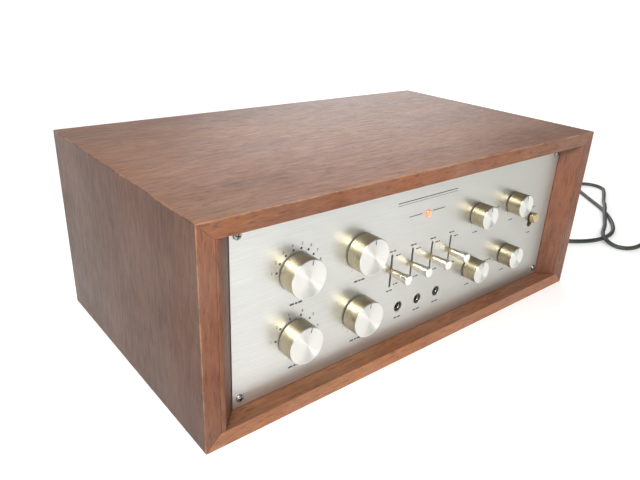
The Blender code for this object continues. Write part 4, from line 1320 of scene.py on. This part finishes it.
def makeCircuitBoard():
    low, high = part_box("circuit_board")
    stand = innerSettings["boardStand"]
    top = low.z + stand + innerSettings["boardThick"]
    shape = bmesh.new()
    addBlock(shape, (low.x, low.y, low.z + stand), (high.x, high.y, top), 0.0002, 1)
    inset = innerSettings["pillarInset"]
    pillar = [(0, 0), (0.0030, 0), (0.0030, stand), (0, stand)]
    for x in (low.x + inset, high.x - inset):
        for y in (low.y + inset, high.y - inset):
            addTurned(shape, pillar, (x, y, low.z), upwards, 20, 1)
            addPanHead(shape, (x, y, top), 0.0026, upwards)
    transistor = [(0, 0), (0.0042, 0), (0.0042, 0.0008), (0.0036, 0.0012), (0.0036, 0.0062),
                  (0.0032, 0.0070), (0, 0.0070)]
    capacitor = [(0, 0), (0.0056, 0), (0.0058, 0.0010), (0.0054, 0.0022), (0.0060, 0.0034),
                 (0.0060, 0.0188), (0.0054, 0.0200), (0.0044, 0.0200), (0.0042, 0.0196), (0, 0.0196)]
    resistor = [(0, 0), (0.0008, 0.0001), (0.0011, 0.0006), (0.0011, 0.0012), (0.0009, 0.0016),
                (0.0009, 0.0050), (0.0011, 0.0054), (0.0011, 0.0060), (0.0008, 0.0065), (0, 0.0066)]
    for column in range(innerSettings["groups"]):
        x = low.x + innerSettings["groupFirst"] + column * innerSettings["groupPitch"]
        for y in (0.000, 0.062):
            addTurned(shape, transistor, (x, y, top), upwards, 32, 1)
        addTurned(shape, capacitor, (x + 0.012, 0.018, top), upwards, 40, 3)
        for row in range(innerSettings["resistors"]):
            place = (x - 0.011, 0.012 + row * innerSettings["resistorPitch"], top + 0.0013)
            addTurned(shape, resistor, place, towardsRight, 12, 2)
    finishPiece(shape, [phenolicBoard, drawnCan, resistorBody, blackPlastic], "circuit_board")


makeTransformer()
makeCapacitor()
makeCircuitBoard()

# shafts, controls and sheet metal keep their CAD shapes and take better finishes
keptFinishes = {"chassis_tray": zincSteel, "top_shield": zincSteel, "lamp_holder": nickelPlate}
for node in ("lever_switch_bank", "power_switch", "selector_switch", "mode_switch"):
    keptFinishes[node] = phenolicBoard
for knobName in knobNames:
    keptFinishes[knobName + "_shaft"] = nickelPlate
    if knobName not in ("selector", "mode"):
        keptFinishes[knobName + "_pot"] = drawnCan
for node, material in keptFinishes.items():
    mesh = frame["nodes"][node].data
    mesh.materials.clear()
    mesh.materials.append(material)
print("inner pieces made")


# floor, backdrop and lights

# the floor glows more far away, so that it runs into the backdrop
stageSettings = {
    "floorSize": 20.0, "floorGlow": 0.34, "farGlow": 1.1, "glowStart": 0.75, "glowEnd": 2.4,
    "backdrop": 1.0, "backdropColour": (0.97, 0.985, 1.0, 1),
    "brightSide": 0.66, "darkSide": 0.03, "darkDirection": (0.62, -0.78, 0), "darkFrom": -0.3, "darkTo": 0.8,
}
# each light's place, target, size, power and colour
lightSettings = {
    "keyLight": ((-1.00, -1.05, 1.15), (-0.15, 0, 0.1), 1.0, 31, (1.0, 0.99, 0.97)),
    "fillLight": ((1.6, -1.8, 1.6), (0, 0, 0.1), 2.0, 2, (0.97, 0.985, 1.0)),
    "backLight": ((2.1, 2.3, 1.5), (0, 0, 0.1), 2.4, 32, (1, 1, 1)),
}


def makeStage():
    material, tree, place = newMaterial("paleFloor")
    colour = mixColour(tree, noise(tree, place, 3.0, 2.0), (0.76, 0.76, 0.755, 1), (0.80, 0.80, 0.795, 1))
    away = vectorMath(tree, "LENGTH", place)
    glow = remap(tree, away, stageSettings["glowStart"], stageSettings["glowEnd"],
                 stageSettings["floorGlow"], stageSettings["farGlow"])
    finishMaterial(material, colour, 0.7, None, {"Emission Color": (1, 1, 1, 1), "Emission Strength": glow})
    shape = bmesh.new()
    bmesh.ops.create_grid(shape, x_segments=1, y_segments=1, size=stageSettings["floorSize"])
    mesh = bpy.data.meshes.new("floor")
    shape.to_mesh(mesh)
    shape.free()
    mesh.materials.append(material)
    floor = bpy.data.objects.new("floor", mesh)
    scene.collection.objects.link(floor)


def makeLights():
    world = bpy.data.worlds.new("studio")
    world.use_nodes = True
    tree = world.node_tree
    seen = addNode(tree, "LightPath").outputs["Is Camera Ray"]
    direction = addNode(tree, "TexCoord").outputs["Generated"]
    towardsDark = vectorMath(tree, "DOT_PRODUCT", direction, stageSettings["darkDirection"])
    lit = remap(tree, towardsDark, stageSettings["darkFrom"], stageSettings["darkTo"],
                stageSettings["brightSide"], stageSettings["darkSide"])
    strength = calculate(tree, "ADD", lit, calculate(tree, "MULTIPLY", seen, stageSettings["backdrop"]))
    background = tree.nodes["Background"]
    setSocket(tree, background.inputs["Color"], stageSettings["backdropColour"])
    setSocket(tree, background.inputs["Strength"], strength)
    scene.world = world
    for name, (place, target, size, power, colour) in lightSettings.items():
        data = bpy.data.lights.new(name, "AREA")
        data.shape = "DISK"
        data.size = size
        data.energy = power
        data.color = colour
        lamp = bpy.data.objects.new(name, data)
        lamp.location = place
        lamp.rotation_euler = (Vector(target) - Vector(place)).to_track_quat("-Z", "Y").to_euler()
        scene.collection.objects.link(lamp)


makeStage()
makeLights()
print("stage and lights made")
